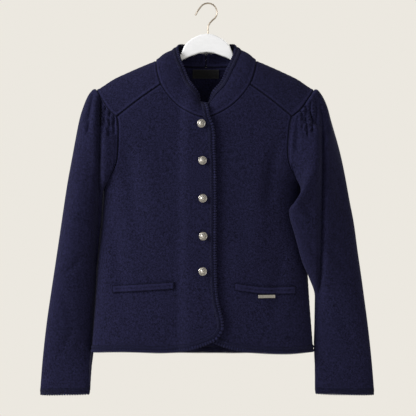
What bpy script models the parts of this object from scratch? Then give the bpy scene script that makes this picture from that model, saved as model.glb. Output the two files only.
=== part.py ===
"""A wool jacket hanging on its hanger: two lapped fronts with small shoulder yokes, a one-piece back, a
wide collar, full sleeves gathered at the cap, braid edging, pocket welts and five domed buttons.

Tables and sizes are in millimetres and build() turns them into metres. +Z is up, the front faces -Y, and the
origin is the inner top of the hook's loop, where the hanger hangs. Right and left are the wearer's, so the
right front is on the -X side. "half" is a distance from the garment's middle line, and "side" is -1 for right
and +1 for left.
"""

import math

import bmesh
import bpy
import numpy as np

MM = 0.001

# Cloth, seams and edging
CLOTH = 2.2
SEAM = 0.3
BRAID_THICK = 3.0
# The braid's section: distance out from the cloth's edge, height above the cloth
BRAID_LINES = ((0.3, 0.5), (5.0, 1.3), (14.0, 0.1))

# Middle line of the garment: z, x
MIDDLE = ((-720, -11.2), (-310, -10.8), (-240, -7.8), (-116, -3.8), (-60, -1.5))
# Shoulder line: half, z
SHOULDER = (
    (0, -92), (60, -103), (102, -116), (134, -129), (161, -141), (188, -154), (206, -166), (221, -176),
    (300, -232),
)
# Body: z, half width; and z, depth of the front and of the back
BODY_HALF = (
    (-716, 226), (-695, 224.7), (-603, 217.6), (-525, 212.5), (-434, 203.4),
    (-373, 201), (-340, 222), (-300, 250), (-240, 290), (-176, 320), (-116, 330),
)
FRONT_DEPTH = ((-716, 45), (-600, 48), (-450, 51), (-350, 53), (-240, 50), (-116, 48))
BACK_DEPTH = ((-716, 40), (-350, 42), (-116, 38))
BODY_SQUARENESS = 2.6
SHOULDER_DROP = 150  # depth below the shoulder line at which the body reaches its full depth

# Where the right front laps over the left: lift at the edge, and the halves between which it fades
LAP_LIFT, LAP_FULL, LAP_NONE = 7.2, 29, 52

# Neck seam, from the front edge to the yoke's seam and on to the shoulder: half, z
NECK_FRONT = ((2, -235), (17, -231), (36, -222), (58, -207), (76, -188), (90, -167))
NECK_YOKE = ((90, -167), (98, -141), (102, -116))
NECK_BACK = ((102, -116), (88, -119), (66, -123), (36, -126), (0, -127))
YOKE_SEAM = ((90, -167), (132, -197), (176, -232))
# Armhole: half, z
ARMHOLE_YOKE = ((221, -176), (205, -201), (188, -223), (176, -232))
ARMHOLE_FRONT = (
    (176, -232), (173, -242), (170.5, -270), (170, -300), (172, -320), (181, -345), (192, -362), (201, -373),
)
ARMHOLE_BACK = (
    (221, -176), (208, -204), (197, -240), (190, -270), (186, -300), (187, -320), (191, -344), (196, -362),
    (201, -373),
)
# Front edges down to the middle of the rounded corner, and hems on to the side seam: half, z
EDGE_RIGHT = (
    (2, -235), (-5, -250), (-12, -304), (-14, -366), (-14.5, -529), (-15.5, -567), (-18, -596), (-24, -625),
    (-28.5, -644), (-29, -656),
)
HEM_RIGHT = ((-29, -656), (-23, -666), (-5, -676), (33, -688), (72, -693), (148, -692.5), (226, -695))
EDGE_LEFT = (
    (2, -235), (-6, -252), (-12, -304), (-14, -366), (-14.5, -529), (-15, -572), (-14, -605), (-9, -630),
    (2, -651),
)
HEM_LEFT = ((2, -651), (14, -664), (35, -677), (61, -686), (111, -694), (161, -697), (226, -694.5))
HEM_BACK = ((-226, -695), (-120, -702), (0, -703), (120, -702), (226, -694.5))

# Collar's upper edge, from the front corner to the centre back: half, z, y
COLLAR_TOP = (
    (10, -206, -37), (22, -189, -38), (40, -169, -35), (53, -141, -30), (62, -121, -23), (68.5, -103, -12),
    (70, -93, 2), (57, -92, 19), (30, -96, 28), (0, -98, 31),
)
COLLAR_SWELL = 3.0

# Sleeves: the section's outer and inner end, how far in front (-) or behind (+) each end lies, how far the
# section stands out to the front and back of the line between them, and how much of the armhole's own curve
# is left
SLEEVE_COLUMNS = ("outer_x", "outer_z", "inner_x", "inner_z", "outer_y", "inner_y", "front", "back", "scoop")
SLEEVE_RIGHT = (
    (226.4, -176.2, 212.6, -373.0, 0, 0, 44, 37, 1.0),
    (231.5, -175.8, 214.5, -378, 0, 0, 46, 38, 0.78),
    (238.0, -182, 215.5, -384, -1, 1, 49, 40, 0.52),
    (244.5, -193, 215.5, -390, -2, 3, 50, 41, 0.30),
    (251.0, -209, 215.0, -396, -2, 6, 50, 42, 0.14),
    (257.5, -229, 214.0, -403, -2, 10, 50, 42, 0.05),
    (263.0, -254, 212.8, -411, -2, 14, 50, 42, 0),
    (268.5, -283, 212.0, -421, -2, 17, 50, 41, 0),
    (275.0, -318, 212.2, -434, -2, 19, 49, 40, 0),
    (283.0, -361, 213.6, -453, -2, 20, 48, 38, 0),
    (291.0, -412, 216.5, -481, -2, 20, 47, 36, 0),
    (299.5, -470, 221.0, -518, -2, 20, 44, 33, 0),
    (308.5, -530, 225.8, -561, -2, 19, 40, 29, 0),
    (318.0, -592, 230.2, -611, -2, 18, 35, 25, 0),
    (326.0, -646, 233.6, -656, -1, 17, 29, 20, 0),
    (332.0, -695, 236.2, -699, 0, 14, 23, 17, 0),
    (336.6, -742, 236.2, -743, 0, 6, 18, 16, 0),
    (339.8, -783, 234.5, -781, 0, 0, 15, 14, 0),
)
SLEEVE_LEFT = (
    (215.2, -177.2, 189.9, -373.0, 0, 0, 44, 37, 1.0),
    (221.0, -177.2, 192.0, -378, 0, -1, 46, 38, 0.78),
    (228.0, -184.5, 192.0, -384, -1, -5, 48, 39, 0.52),
    (234.7, -196, 190.0, -391, -2, -11, 48, 39, 0.30),
    (241.5, -213, 186.0, -398, -3, -20, 47, 38, 0.14),
    (248.0, -238, 180.0, -404, -4, -30, 44, 36, 0.05),
    (254.5, -261, 173.0, -410, -5, -39, 41, 33, 0),
    (261.0, -283, 167.0, -416, -5, -46, 37, 29, 0),
    (269.0, -314, 164.0, -424, -5, -50, 32, 26, 0),
    (277.5, -355, 166.0, -438, -5, -50, 27, 23, 0),
    (286.0, -402, 172.5, -459, -5, -48, 25, 21, 0),
    (294.5, -446, 180.0, -485, -5, -44, 24, 20, 0),
    (302.5, -504, 191.0, -523, -4, -36, 24, 20, 0),
    (310.0, -556, 206.0, -556, -4, -23, 25, 22, 0),
    (317.0, -606, 219.2, -597, -2, -9, 25, 24, 0),
    (323.5, -654, 218.8, -649, -1, -4, 22, 21, 0),
    (328.5, -697, 217.5, -695, 0, -2, 19, 18, 0),
    (333.0, -743, 216.0, -742, 0, 0, 16, 15, 0),
    (336.2, -783, 217.0, -781, 0, 0, 14, 13, 0),
)
SLEEVE_ROUNDNESS = 2.2
SLEEVE_CLEAR = 4.5  # the least gap from a hanging sleeve to the body
SLEEVE_SEAM = 0.9  # gap between the four parts of a sleeve, whose edges twist at the folds
ELBOW_RING = 10  # the ring of the sleeve's table at which its upper part meets its lower part
UNDERARM_EASE = 1.8  # how much wider than a seam the sleeve stands off at the underarm

# Grooves between the gathers and down the sleeve, on the front (-1) or the back (+1)
GATHER_COLUMNS = ("face", "head_x", "head_z", "foot_x", "foot_z", "depth", "width")
GATHERS_RIGHT = (
    (-1, 231, -184, 243, -240, 4, 5),
    (-1, 216, -196, 217, -310, 11, 7),
    (-1, 217, -310, 229, -520, 9, 7),
    (-1, 229, -520, 236, -700, 4, 6),
    (-1, 204, -212, 207, -250, 6, 5),
    (-1, 192, -226, 194, -252, 4, 4),
    (1, 228, -186, 236, -250, 5, 6),
    (1, 213, -205, 216, -300, 8, 7),
    (1, 216, -300, 226, -480, 6, 8),
    (1, 203, -228, 205, -280, 5, 6),
)
GATHERS_LEFT = (
    (-1, 224, -186, 229, -240, 9, 6),
    (-1, 229, -240, 226, -570, 9, 7),
    (-1, 226, -570, 222, -700, 4, 6),
    (-1, 198, -210, 213, -246, 6, 5),
    (-1, 189, -222, 195, -246, 4, 4),
    (-1, 176, -238, 178, -300, 5, 5),
    (1, 217, -188, 226, -252, 5, 6),
    (1, 203, -205, 207, -300, 8, 7),
    (1, 207, -300, 216, -470, 6, 8),
    (1, 192, -228, 195, -280, 5, 6),
)

# Small pieces: x, z of the buttons; corner halves and heights of the welts
BUTTONS = ((-13.3, -247.8), (-10.9, -321.5), (-10.3, -396.8), (-9.7, -472.1), (-10.5, -542.4))
BUTTON_PROFILE = (
    (0, 4.6), (2.7, 4.1), (4.2, 2.9), (6.6, 2.8), (8.0, 2.3), (8.5, 1.2), (7.6, 0.0), (2.2, 0.0), (2.2, -1.6),
    (0, -1.6),
)
BUTTON_TURNS = 14
WELT_THICK, WELT_GAP = 1.9, 0.9
WELT_RIGHT = {
    "top": ((57, -563.5), (118, -567.5), (181, -571.7)),
    "foot": ((57, -578.5), (118, -582.5), (181, -587.1)),
}
WELT_LEFT = {
    "top": ((64, -565.9), (128, -573.7), (187, -572.8)),
    "foot": ((64, -580.8), (110, -587.5), (187, -589.5)),
}
BAR_LONG, BAR_HIGH, BAR_THICK, BAR_HALF, BAR_Z = 35, 6.4, 1.6, 128.5, -593.4
LABEL_HALF, LABEL_TOP, LABEL_FOOT, LABEL_THICK = 27, -130.5, -148.5, 1.0

# Hanger: half, z, from the peak down one side of the head; then it follows the shoulder inside the cloth
HANGER_THICK, HANGER_ROUND, HANGER_MIDDLE = 11, 2.5, -2
HANGER_HEAD = ((0, -61), (12, -62.5), (20, -65.6), (31, -71), (40.5, -79), (47, -87), (50, -95), (54, -103.5))
HANGER_HEAD_FOOT = ((54, -116.5), (39, -109), (14, -100.2), (0, -98.6))
HANGER_BELOW, HANGER_DEEP, HANGER_TIP = 7.0, 24, 208
# Hook: the loop's radius to the wire's middle, then the points below and after it: x, z
WIRE = 1.65
LOOP = 18.6
HOOK_SHANK = ((0, -72), (0, -60), (0, -50), (0.8, -44), (4.0, -38.5), (9.4, -33.0))
HOOK_TIP = ((-20.4, -13.3), (-23.1, -18.4), (-25.9, -23.1))
LOOP_FROM, LOOP_TO = -40, 150

# How finely the cloth is cut into faces
COLUMNS_NECK, COLUMNS_YOKE, COLUMNS_BACK_NECK = 5, 7, 8
ROWS_ARM_YOKE, ROWS_ARM_FRONT, ROWS_ARM_BACK, ROWS_SIDE = 10, 12, 13, 9
ROWS_COLLAR = 3

NAVY, BRAID_NAVY = (0.012, 0.016, 0.036), (0.010, 0.013, 0.030)
SILVER, STEEL, WHITE, BLACK = (0.42, 0.41, 0.39), (0.20, 0.17, 0.14), (0.86, 0.88, 0.91), (0.01, 0.01, 0.012)


def steady(table, at):
    """Smooth curve through a table's two columns, which never swings past its rows."""
    across, value = np.array(sorted(table), float).T
    step = np.diff(across)
    slope = np.diff(value) / step
    tangent = np.zeros(len(across))
    for i in range(1, len(across) - 1):
        if slope[i - 1] * slope[i] > 0:
            first, second = 2 * step[i] + step[i - 1], step[i] + 2 * step[i - 1]
            tangent[i] = (first + second) / (first / slope[i - 1] + second / slope[i])
    tangent[0], tangent[-1] = slope[0], slope[-1]
    at = np.asarray(at, float)
    part = np.clip(np.searchsorted(across, at) - 1, 0, len(step) - 1)
    t = np.clip((at - across[part]) / step[part], -1, 2)
    return (
        value[part] * (1 + 2 * t) * (1 - t) ** 2
        + value[part + 1] * t * t * (3 - 2 * t)
        + step[part] * tangent[part] * t * (1 - t) ** 2
        + step[part] * tangent[part + 1] * t * t * (t - 1)
    )


def fade(value):
    value = np.clip(value, 0, 1)
    return value * value * (3 - 2 * value)


def smooth_curve(points, fractions):
    """Points at these fractions of the length of a smooth curve through the given ones."""
    points = np.array(points, float)
    if len(points) == 2:
        return points[0] + np.outer(fractions, points[1] - points[0])
    knots = np.concatenate([[0], np.cumsum(np.linalg.norm(np.diff(points, axis=0), axis=1))])
    step = np.diff(knots)[:, None]
    slope = np.diff(points, axis=0) / step
    tangent = np.empty_like(points)
    tangent[0], tangent[-1] = slope[0], slope[-1]
    tangent[1:-1] = (slope[:-1] * step[1:] + slope[1:] * step[:-1]) / (step[1:] + step[:-1])
    fine = np.linspace(0, knots[-1], 600)
    part = np.clip(np.searchsorted(knots, fine) - 1, 0, len(step) - 1)
    t = ((fine - knots[part]) / step[part, 0])[:, None]
    dense = (
        points[part] * (1 + 2 * t) * (1 - t) ** 2
        + points[part + 1] * t * t * (3 - 2 * t)
        + step[part] * tangent[part] * t * (1 - t) ** 2
        + step[part] * tangent[part + 1] * t * t * (t - 1)
    )
    length = np.concatenate([[0], np.cumsum(np.linalg.norm(np.diff(dense, axis=0), axis=1))])
    at = np.asarray(fractions) * length[-1]
    return np.stack([np.interp(at, length, dense[:, i]) for i in range(dense.shape[1])], axis=1)


def turn_of(half, z):
    """The angle round the body of a place on it: 0 at the middle line, a quarter turn at the side seam."""
    share = np.clip(np.abs(half) / steady(BODY_HALF, z), 0, 1)
    return np.sign(half) * np.arcsin(share ** (BODY_SQUARENESS / 2))


def body_point(side, face, turn, z):
    """A point on the cloth's outer face. face is -1 on the fronts and yokes and +1 on the back."""
    power = 2 / BODY_SQUARENESS
    half = steady(BODY_HALF, z) * np.sign(turn) * np.abs(np.sin(turn)) ** power
    below = np.clip((steady(SHOULDER, np.abs(half)) - z) / SHOULDER_DROP, 0, 1)
    depth = steady(FRONT_DEPTH if face < 0 else BACK_DEPTH, z) * np.abs(np.cos(turn)) ** power
    depth = depth * np.sqrt(1 - (1 - below) ** 2) + SEAM / 2
    if face < 0 and side < 0:
        depth = depth + lap_lift(half)
    return np.stack([steady(MIDDLE, z) + side * half, face * depth, z], axis=-1)


def lap_lift(half):
    return LAP_LIFT * (1 - fade((half - LAP_FULL) / (LAP_NONE - LAP_FULL)))


def body_normal(side, face, turn, z):
    """The outward normal of body_point's surface, exact in the seam planes at the side and the shoulder."""
    small = 1e-3
    here = body_point(side, face, turn, z)
    along = here - body_point(side, face, turn - small, z)
    down = here - body_point(side, face, turn, z - small)
    normal = np.cross(along, down)
    normal /= np.linalg.norm(normal, axis=-1, keepdims=True)
    outward = 0.3 * side * np.sign(turn) * normal[..., 0] + face * normal[..., 1] + 0.1 * normal[..., 2]
    normal *= np.sign(outward)[..., None]
    seam = (turn > math.pi / 2 - 1e-6)[..., None] * np.array([0, 1, 0])
    normal = normal * (1 - seam)
    return normal / np.linalg.norm(normal, axis=-1, keepdims=True)


def places(table, fractions):
    """Places on the body, as (turn, z), at fractions of a curve through a table of (half, z)."""
    half, z = smooth_curve(table, fractions).T
    return np.stack([turn_of(half, z), z], axis=1)


def hem_places(table, fractions):
    """As places, spaced more closely round the side than its short table would."""
    fine = places(table, np.linspace(0, 1, 400))
    point = body_point(1, 1, fine[:, 0], fine[:, 1])
    pace = np.linalg.norm(np.diff(point, axis=0), axis=1) + 40 * np.abs(np.diff(fine[:, 0]))
    length = np.concatenate([[0], np.cumsum(pace)])
    at = np.asarray(fractions) * length[-1]
    return np.stack([np.interp(at, length, fine[:, i]) for i in range(2)], axis=1)


def shares(points):
    length = np.concatenate([[0], np.cumsum(np.linalg.norm(np.diff(points, axis=0), axis=1))])
    return length / length[-1]


def patch(foot, top, left, right, across, up):
    """A grid of places between four edges that meet at the corners (rows go up, columns go across)."""
    u, v = across[None, :, None], up[:, None, None]
    corners = (1 - v) * ((1 - u) * foot[0] + u * foot[-1]) + v * ((1 - u) * top[0] + u * top[-1])
    return (1 - v) * foot[None] + v * top[None] + (1 - u) * left[:, None] + u * right[:, None] - corners


def armhole_places(back=False):
    """The armhole from the underarm up to the shoulder, and how many of the points lie below the yoke."""
    if back:
        down = np.linspace(0, 1, ROWS_ARM_BACK + 1)
        return places(ARMHOLE_BACK, down - 0.09 * np.sin(2 * math.pi * down))[::-1], 0
    yoke = places(ARMHOLE_YOKE, np.linspace(0, 1, ROWS_ARM_YOKE + 1) ** 1.5)
    front = places(ARMHOLE_FRONT, 1 - np.linspace(1, 0, ROWS_ARM_FRONT + 1) ** 1.35)
    return np.concatenate([front[::-1], yoke[::-1][1:]]), ROWS_ARM_FRONT


def side_seam(hem_z):
    z = np.linspace(hem_z, ARMHOLE_FRONT[-1][1], ROWS_SIDE + 1)
    return np.stack([np.full(len(z), math.pi / 2), z], axis=1)


def front_grid(side):
    """Places of a front: rows from the hem to the neck and yoke seams, columns from front edge to side."""
    edge, hem = (EDGE_RIGHT, HEM_RIGHT) if side < 0 else (EDGE_LEFT, HEM_LEFT)
    armhole, below_yoke = armhole_places()
    right = np.concatenate([side_seam(hem[-1][1]), armhole[1 : below_yoke + 1]])
    neck = places(NECK_FRONT, np.linspace(0, 1, COLUMNS_NECK + 1))
    top = np.concatenate([neck, places(YOKE_SEAM, np.linspace(0, 1, COLUMNS_YOKE + 1))[1:]])
    up = shares(body_point(side, -1, right[:, 0], right[:, 1]))
    across = shares(body_point(side, -1, top[:, 0], top[:, 1]))
    return patch(hem_places(hem, across), top, places(edge[::-1], up), right, across, up)


def yoke_grid(side):
    """Places of a yoke: rows from its slanted seam up to the shoulder, columns from neck to armhole."""
    armhole, below_yoke = armhole_places()
    right = armhole[below_yoke:]
    foot = places(YOKE_SEAM, np.linspace(0, 1, COLUMNS_YOKE + 1))
    top = shoulder_places()
    up = 1 - np.linspace(1, 0, ROWS_ARM_YOKE + 1) ** 1.5
    left = places(NECK_YOKE, up)
    across = shares(body_point(side, -1, foot[:, 0], foot[:, 1]))
    return settle(patch(foot, top, left, right, across, up))


def shoulder_places():
    half = np.linspace(NECK_YOKE[-1][0], ARMHOLE_YOKE[0][0], COLUMNS_YOKE + 1)
    z = steady(SHOULDER, half)
    return np.stack([turn_of(half, z), z], axis=1)


def settle(grid):
    """Puts a grid's top row exactly on the shoulder line."""
    turn, z = grid[-1].T
    half = steady(BODY_HALF, z) * np.abs(np.sin(turn)) ** (2 / BODY_SQUARENESS)
    on_shoulder = half > NECK_YOKE[-1][0] - 1
    grid[-1, on_shoulder, 1] = steady(SHOULDER, half[on_shoulder])
    return grid


def back_grid():
    """Places of the back: rows from the hem to the shoulders and neck, columns from right side to left."""
    armhole, _ = armhole_places(back=True)
    left_side = np.concatenate([side_seam(HEM_BACK[-1][1]), armhole[1:]])
    right_side = np.concatenate([side_seam(HEM_BACK[0][1]), armhole[1:]]) * [-1, 1]
    shoulder = shoulder_places()
    neck = places(NECK_BACK, np.linspace(0, 1, COLUMNS_BACK_NECK // 2 + 1))
    half_top = np.concatenate([shoulder[::-1], neck[1:]])
    top = np.concatenate([half_top * [-1, 1], half_top[::-1][1:]])
    up = shares(body_point(1, 1, left_side[:, 0], left_side[:, 1]))
    across = shares(body_point(1, 1, top[:, 0], top[:, 1]))
    return settle(patch(hem_places(HEM_BACK, across), top, right_side, left_side, across, up))


def panel(side, face, grid):
    """Outer points and outward normals of a body panel."""
    turn, z = grid[..., 0], grid[..., 1]
    return body_point(side, face, turn, z), body_normal(side, face, turn, z)


def yoke_panel(side):
    """A yoke, drawn back by a seam's gap from the front below it."""
    points, normals = panel(side, -1, yoke_grid(side))
    away = points[1] - points[0]
    points[0] += 1.4 * SEAM * away / np.linalg.norm(away, axis=1, keepdims=True)
    return points, normals


def grid_normals(points, closed=False, flip=1):
    """Normals of a grid of points, by the directions of its rows and columns."""
    if closed:
        across = np.roll(points, -1, axis=1) - np.roll(points, 1, axis=1)
    else:
        across = np.gradient(points, axis=1)
    normal = flip * np.cross(across, np.gradient(points, axis=0))
    return normal / np.maximum(np.linalg.norm(normal, axis=-1, keepdims=True), 1e-9)


def wall_faces(rows, columns, closed, mirrored):
    """Faces of a wall: its outer grid, its inner grid, and the rims between them. The first columns can be
    split into triangles the other way, so that a piece's right side is the mirror of its left."""
    count = rows * columns
    wide = columns if closed else columns - 1
    at = lambda layer, r, c: layer * count + r * columns + c % columns
    faces = []
    for r in range(rows - 1):
        for c in range(wide):
            ring = [(r, c), (r, c + 1), (r + 1, c + 1), (r + 1, c)]
            ring = ring[1:] + ring[:1] if c < mirrored else ring
            faces.append([at(0, *corner) for corner in ring])
            faces.append([at(1, *corner) for corner in ring[::-1]])
    border = [((0, c), (0, c + 1)) for c in range(wide)]
    border += [((rows - 1, c + 1), (rows - 1, c)) for c in range(wide)]
    if not closed:
        border += [((r + 1, 0), (r, 0)) for r in range(rows - 1)]
        border += [((r, columns - 1), (r + 1, columns - 1)) for r in range(rows - 1)]
    for a, b in border:
        rim = [at(1, *a), at(1, *b), at(0, *b), at(0, *a)]
        faces.append(rim[1:] + rim[:1] if min(a[1], b[1]) < mirrored else rim)
    return faces


def cloth(name, outer, normals, material, thick=CLOTH, closed=False, mirrored=0):
    """A wall of cloth: a lofted grid of outer points, with its inner face a thickness behind it."""
    rows, columns = outer.shape[:2]
    both = np.concatenate([outer.reshape(-1, 3), (outer - thick * normals).reshape(-1, 3)]) * MM
    mesh = bpy.data.meshes.new(name)
    mesh.from_pydata(both.tolist(), [], wall_faces(rows, columns, closed, mirrored))
    shape = bmesh.new()
    shape.from_mesh(mesh)
    bmesh.ops.recalc_face_normals(shape, faces=shape.faces)
    shape.to_mesh(mesh)
    shape.free()
    return place(name, mesh, material)


def place(name, mesh, material):
    obj = bpy.data.objects.new(name, mesh)
    mesh.materials.append(material)
    mesh.shade_smooth()
    mesh.set_sharp_from_angle(angle=math.radians(50))
    jacket.objects.link(obj)
    return obj


def braid(name, edge, normal, side, material, closed=False, start=None):
    """Edging along a cloth's edge, from its points in order, the cloth's normals there, and the side that the
    braid stands out to."""
    if closed:
        along = np.roll(edge, -1, axis=0) - np.roll(edge, 1, axis=0)
    else:
        along = np.gradient(edge, axis=0)
    if start is not None:
        along[0] = start
    along /= np.linalg.norm(along, axis=1, keepdims=True)
    out = side * np.cross(along, normal)
    out /= np.linalg.norm(out, axis=1, keepdims=True)
    lines = [edge + distance * out + height * normal for distance, height in BRAID_LINES]
    return cloth(name, np.stack(lines), np.stack([normal] * len(lines)), material, BRAID_THICK, closed)


def collar_grid(side):
    """A collar half: rows from the neck seam to the upper edge, columns from front end to centre back."""
    front, yoke, back = front_grid(side), yoke_grid(side), back_grid()
    neck, neck_normal = [], []
    for face, grid, edge in (
        (-1, front, (-1, slice(0, COLUMNS_NECK + 1))),
        (-1, yoke, (slice(1, -1), 0)),
    ):
        points, normals = panel(side, face, grid)
        neck.append(points[edge])
        neck_normal.append(normals[edge])
    middle = back.shape[1] // 2
    points, normals = panel(1, 1, back)
    back_neck = middle + side * np.arange(COLUMNS_BACK_NECK // 2, -1, -1)
    neck.append(points[-1, back_neck])
    neck_normal.append(normals[-1, back_neck])
    neck, neck_normal = np.concatenate(neck), np.concatenate(neck_normal)
    half, z, y = smooth_curve(COLLAR_TOP, shares(neck)).T
    if side < 0:
        y = y - lap_lift(half) * (z < NECK_YOKE[-1][1])
    top = np.stack([steady(MIDDLE, z) + side * half, y, z], axis=1)
    neck[-1, 0] += side * SEAM / 2
    top[-1, 0] = neck[-1, 0]
    rise = top - neck
    neck = neck + 1.4 * SEAM * rise / np.linalg.norm(rise, axis=1, keepdims=True)
    up = np.linspace(0, 1, ROWS_COLLAR + 1)[:, None, None]
    grid = neck * (1 - up) + top * up
    normals = grid_normals(grid, flip=side)
    grid = grid + COLLAR_SWELL * np.sin(math.pi * up) * normals
    normals = grid_normals(grid, flip=side)
    normals[0] = neck_normal
    normals[:, [0, -1], 0] = 0
    normals /= np.linalg.norm(normals, axis=-1, keepdims=True)
    return grid, normals


def edge_path(side):
    """The edge that the braid follows on one side: collar from the centre back, front edge, hem to side."""
    collar, collar_normal = collar_grid(side)
    front, front_normal = panel(side, -1, front_grid(side))
    pieces = (
        (collar[-1, ::-1], collar_normal[-1, ::-1]),
        (collar[:-1, 0][::-1], collar_normal[:-1, 0][::-1]),
        (front[:-1, 0][::-1], front_normal[:-1, 0][::-1]),
        (front[0, 1:], front_normal[0, 1:]),
    )
    edge = np.concatenate([points for points, _ in pieces])
    normal = np.concatenate([normals for _, normals in pieces])
    return edge, normal


def armhole_ring(side):
    """The armhole's outer edge, in the order shoulder, front, underarm, back, and each point's angle round
    the sleeve."""
    armhole, _ = armhole_places()
    behind, _ = armhole_places(back=True)
    front = body_point(side, -1, armhole[::-1, 0], armhole[::-1, 1])
    if side < 0:
        front[:, 1] += lap_lift(np.abs(front[:, 0] - steady(MIDDLE, front[:, 2])))
    back = body_point(side, 1, behind[1:-1, 0], behind[1:-1, 1])
    front[[0, -1], 1] = 0
    ring = np.concatenate([front, back])
    behind_too = np.concatenate([front[-1:], back, front[:1]])
    angle = math.pi * np.concatenate([shares(front), 1 + shares(behind_too)[1:-1]])
    flat = np.stack([side * ring[:, 0], ring[:, 2]], axis=1)
    along = np.roll(flat, -1, axis=0) - np.roll(flat, 1, axis=0)
    away = np.stack([-along[:, 1], along[:, 0]], axis=1)
    away[len(front) :] *= -1
    away /= np.linalg.norm(away, axis=1, keepdims=True)
    away[0], away[len(front) - 1] = (1, 0), (0.8, 0.6)
    away[:, 0] = np.abs(away[:, 0])
    gap = 1.4 * SEAM + UNDERARM_EASE * np.clip(-np.cos(angle), 0, 1) ** 4
    ring[:, 0] += side * gap * away[:, 0]
    ring[:, 2] += gap * away[:, 1]
    return ring, angle


def section(row, side, angle):
    """One cross-section of a sleeve, before its folds."""
    end = {name: value for name, value in zip(SLEEVE_COLUMNS, row)}
    power = 2 / SLEEVE_ROUNDNESS
    across = np.sign(np.cos(angle)) * np.abs(np.cos(angle)) ** power
    stand = np.sign(np.sin(angle)) * np.abs(np.sin(angle)) ** power
    mix = (1 + across) / 2
    x = side * (end["inner_x"] + (end["outer_x"] - end["inner_x"]) * mix)
    z = end["inner_z"] + (end["outer_z"] - end["inner_z"]) * mix
    y = end["inner_y"] + (end["outer_y"] - end["inner_y"]) * mix
    y = y - np.where(stand > 0, end["front"], end["back"]) * stand
    return np.stack([x, y, z], axis=1)


def groove(point, side, angle, table):
    """How deep the folds cut into the sleeve at each point, along Y and towards its inside."""
    cut = np.zeros(len(point))
    for row in table:
        fold = {name: value for name, value in zip(GATHER_COLUMNS, row)}
        down = (fold["head_z"] - point[:, 2]) / (fold["head_z"] - fold["foot_z"])
        line = fold["head_x"] + (fold["foot_x"] - fold["head_x"]) * down
        ends = fade((down + 0.12) / 0.12) * fade((1.12 - down) / 0.12)
        beside = np.exp(-(((side * point[:, 0] - line) / fold["width"]) ** 2))
        on_face = np.clip(-fold["face"] * np.sin(angle), 0, 0.7) / 0.7
        cut += -fold["face"] * fold["depth"] * ends * beside * on_face
    return cut


def keep_clear(point, side):
    """Moves what would lie inside the body out to just clear of it, below the armhole."""
    z = point[:, 2]
    half = side * (point[:, 0] - steady(MIDDLE, z))
    wide = steady(BODY_HALF, np.minimum(z, ARMHOLE_FRONT[-1][1])) + SLEEVE_CLEAR
    deep = steady(FRONT_DEPTH, z) + SLEEVE_CLEAR
    power = BODY_SQUARENESS
    reach = (np.abs(half / wide) ** power + np.abs(point[:, 1] / deep) ** power) ** (1 / power)
    grow = np.where((reach < 1) & (z < ARMHOLE_FRONT[-2][1] - 2), 1 / np.maximum(reach, 0.3), 1)
    point[:, 0] += side * half * (grow - 1)
    point[:, 1] *= grow
    return point


def sleeve_grid(side):
    """Rings of a sleeve from the armhole down to the edging of the cuff, and its outer face's normals."""
    table, gathers = (SLEEVE_RIGHT, GATHERS_RIGHT) if side < 0 else (SLEEVE_LEFT, GATHERS_LEFT)
    ring, angle = armhole_ring(side)
    scooped = ring - section(table[0], side, angle)
    rings = [ring]
    for row in table[1:]:
        scoop = row[SLEEVE_COLUMNS.index("scoop")]
        point = section(row, side, angle) + scoop * scooped
        point[:, 1] += min(1, (1 - scoop) / 0.4) * groove(point, side, angle, gathers)
        rings.append(keep_clear(point, side))
    rings = np.stack(rings)
    normals = grid_normals(rings, closed=True, flip=-side)
    top, under = np.clip(np.cos(angle), 0, 1), np.clip(-np.cos(angle), 0, 1)
    normals[0] = np.stack([-0.85 * side * under, -np.sin(angle), top - 0.5 * under], axis=1)
    normals[0] /= np.linalg.norm(normals[0], axis=1, keepdims=True)
    return rings, normals


def sleeve_quarter(rings, normals, front, upper):
    """The front or back of a sleeve's upper or lower part, drawn in at all its edges inside the sleeve."""
    seam = len(armhole_places()[0]) - 2  # one column in front of the underarm, clear of the folds there
    columns = np.arange(seam + 1) if front else np.arange(seam, rings.shape[1] + 1) % rings.shape[1]
    rows = slice(0, ELBOW_RING + 1) if upper else slice(ELBOW_RING, None)
    points = rings[rows][:, columns].copy()
    for end, beside in ((0, 1), (-1, -2)):
        away = points[:, beside] - points[:, end]
        points[:, end] += SLEEVE_SEAM / 2 * away / np.linalg.norm(away, axis=1, keepdims=True)
    end, beside = (-1, -2) if upper else (0, 1)
    away = points[beside] - points[end]
    points[end] += SLEEVE_SEAM / 2 * away / np.linalg.norm(away, axis=1, keepdims=True)
    return points, normals[rows][:, columns]


def make_welt(name, side, table, material):
    """A pocket welt: a padded strip made from the front's own points, moved out."""
    across = np.linspace(0, 1, 9)
    top, foot = (smooth_curve(table[edge], across) for edge in ("top", "foot"))
    half_z = np.stack([foot, (foot + top) / 2, top])
    turn = turn_of(half_z[..., 0], half_z[..., 1])
    points, normals = body_point(side, -1, turn, half_z[..., 1]), body_normal(side, -1, turn, half_z[..., 1])
    swell = np.array([0.0, 0.5, 0.0])[:, None, None]
    outer = points + (WELT_GAP + WELT_THICK + swell) * normals
    inner = points + WELT_GAP * normals
    return cloth(name, outer, (outer - inner) / WELT_THICK, material, WELT_THICK)


def make_label(name, material):
    """A bare neck label, on the inside of the back just below the neck seam."""
    half, z = np.meshgrid(np.linspace(-LABEL_HALF, LABEL_HALF, 5), np.linspace(LABEL_FOOT, LABEL_TOP, 3))
    turn = turn_of(half, z)
    points, normals = body_point(1, 1, turn, z), body_normal(1, 1, turn, z)
    return cloth(name, points - (CLOTH + 0.9) * normals, normals, material, LABEL_THICK)


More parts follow.
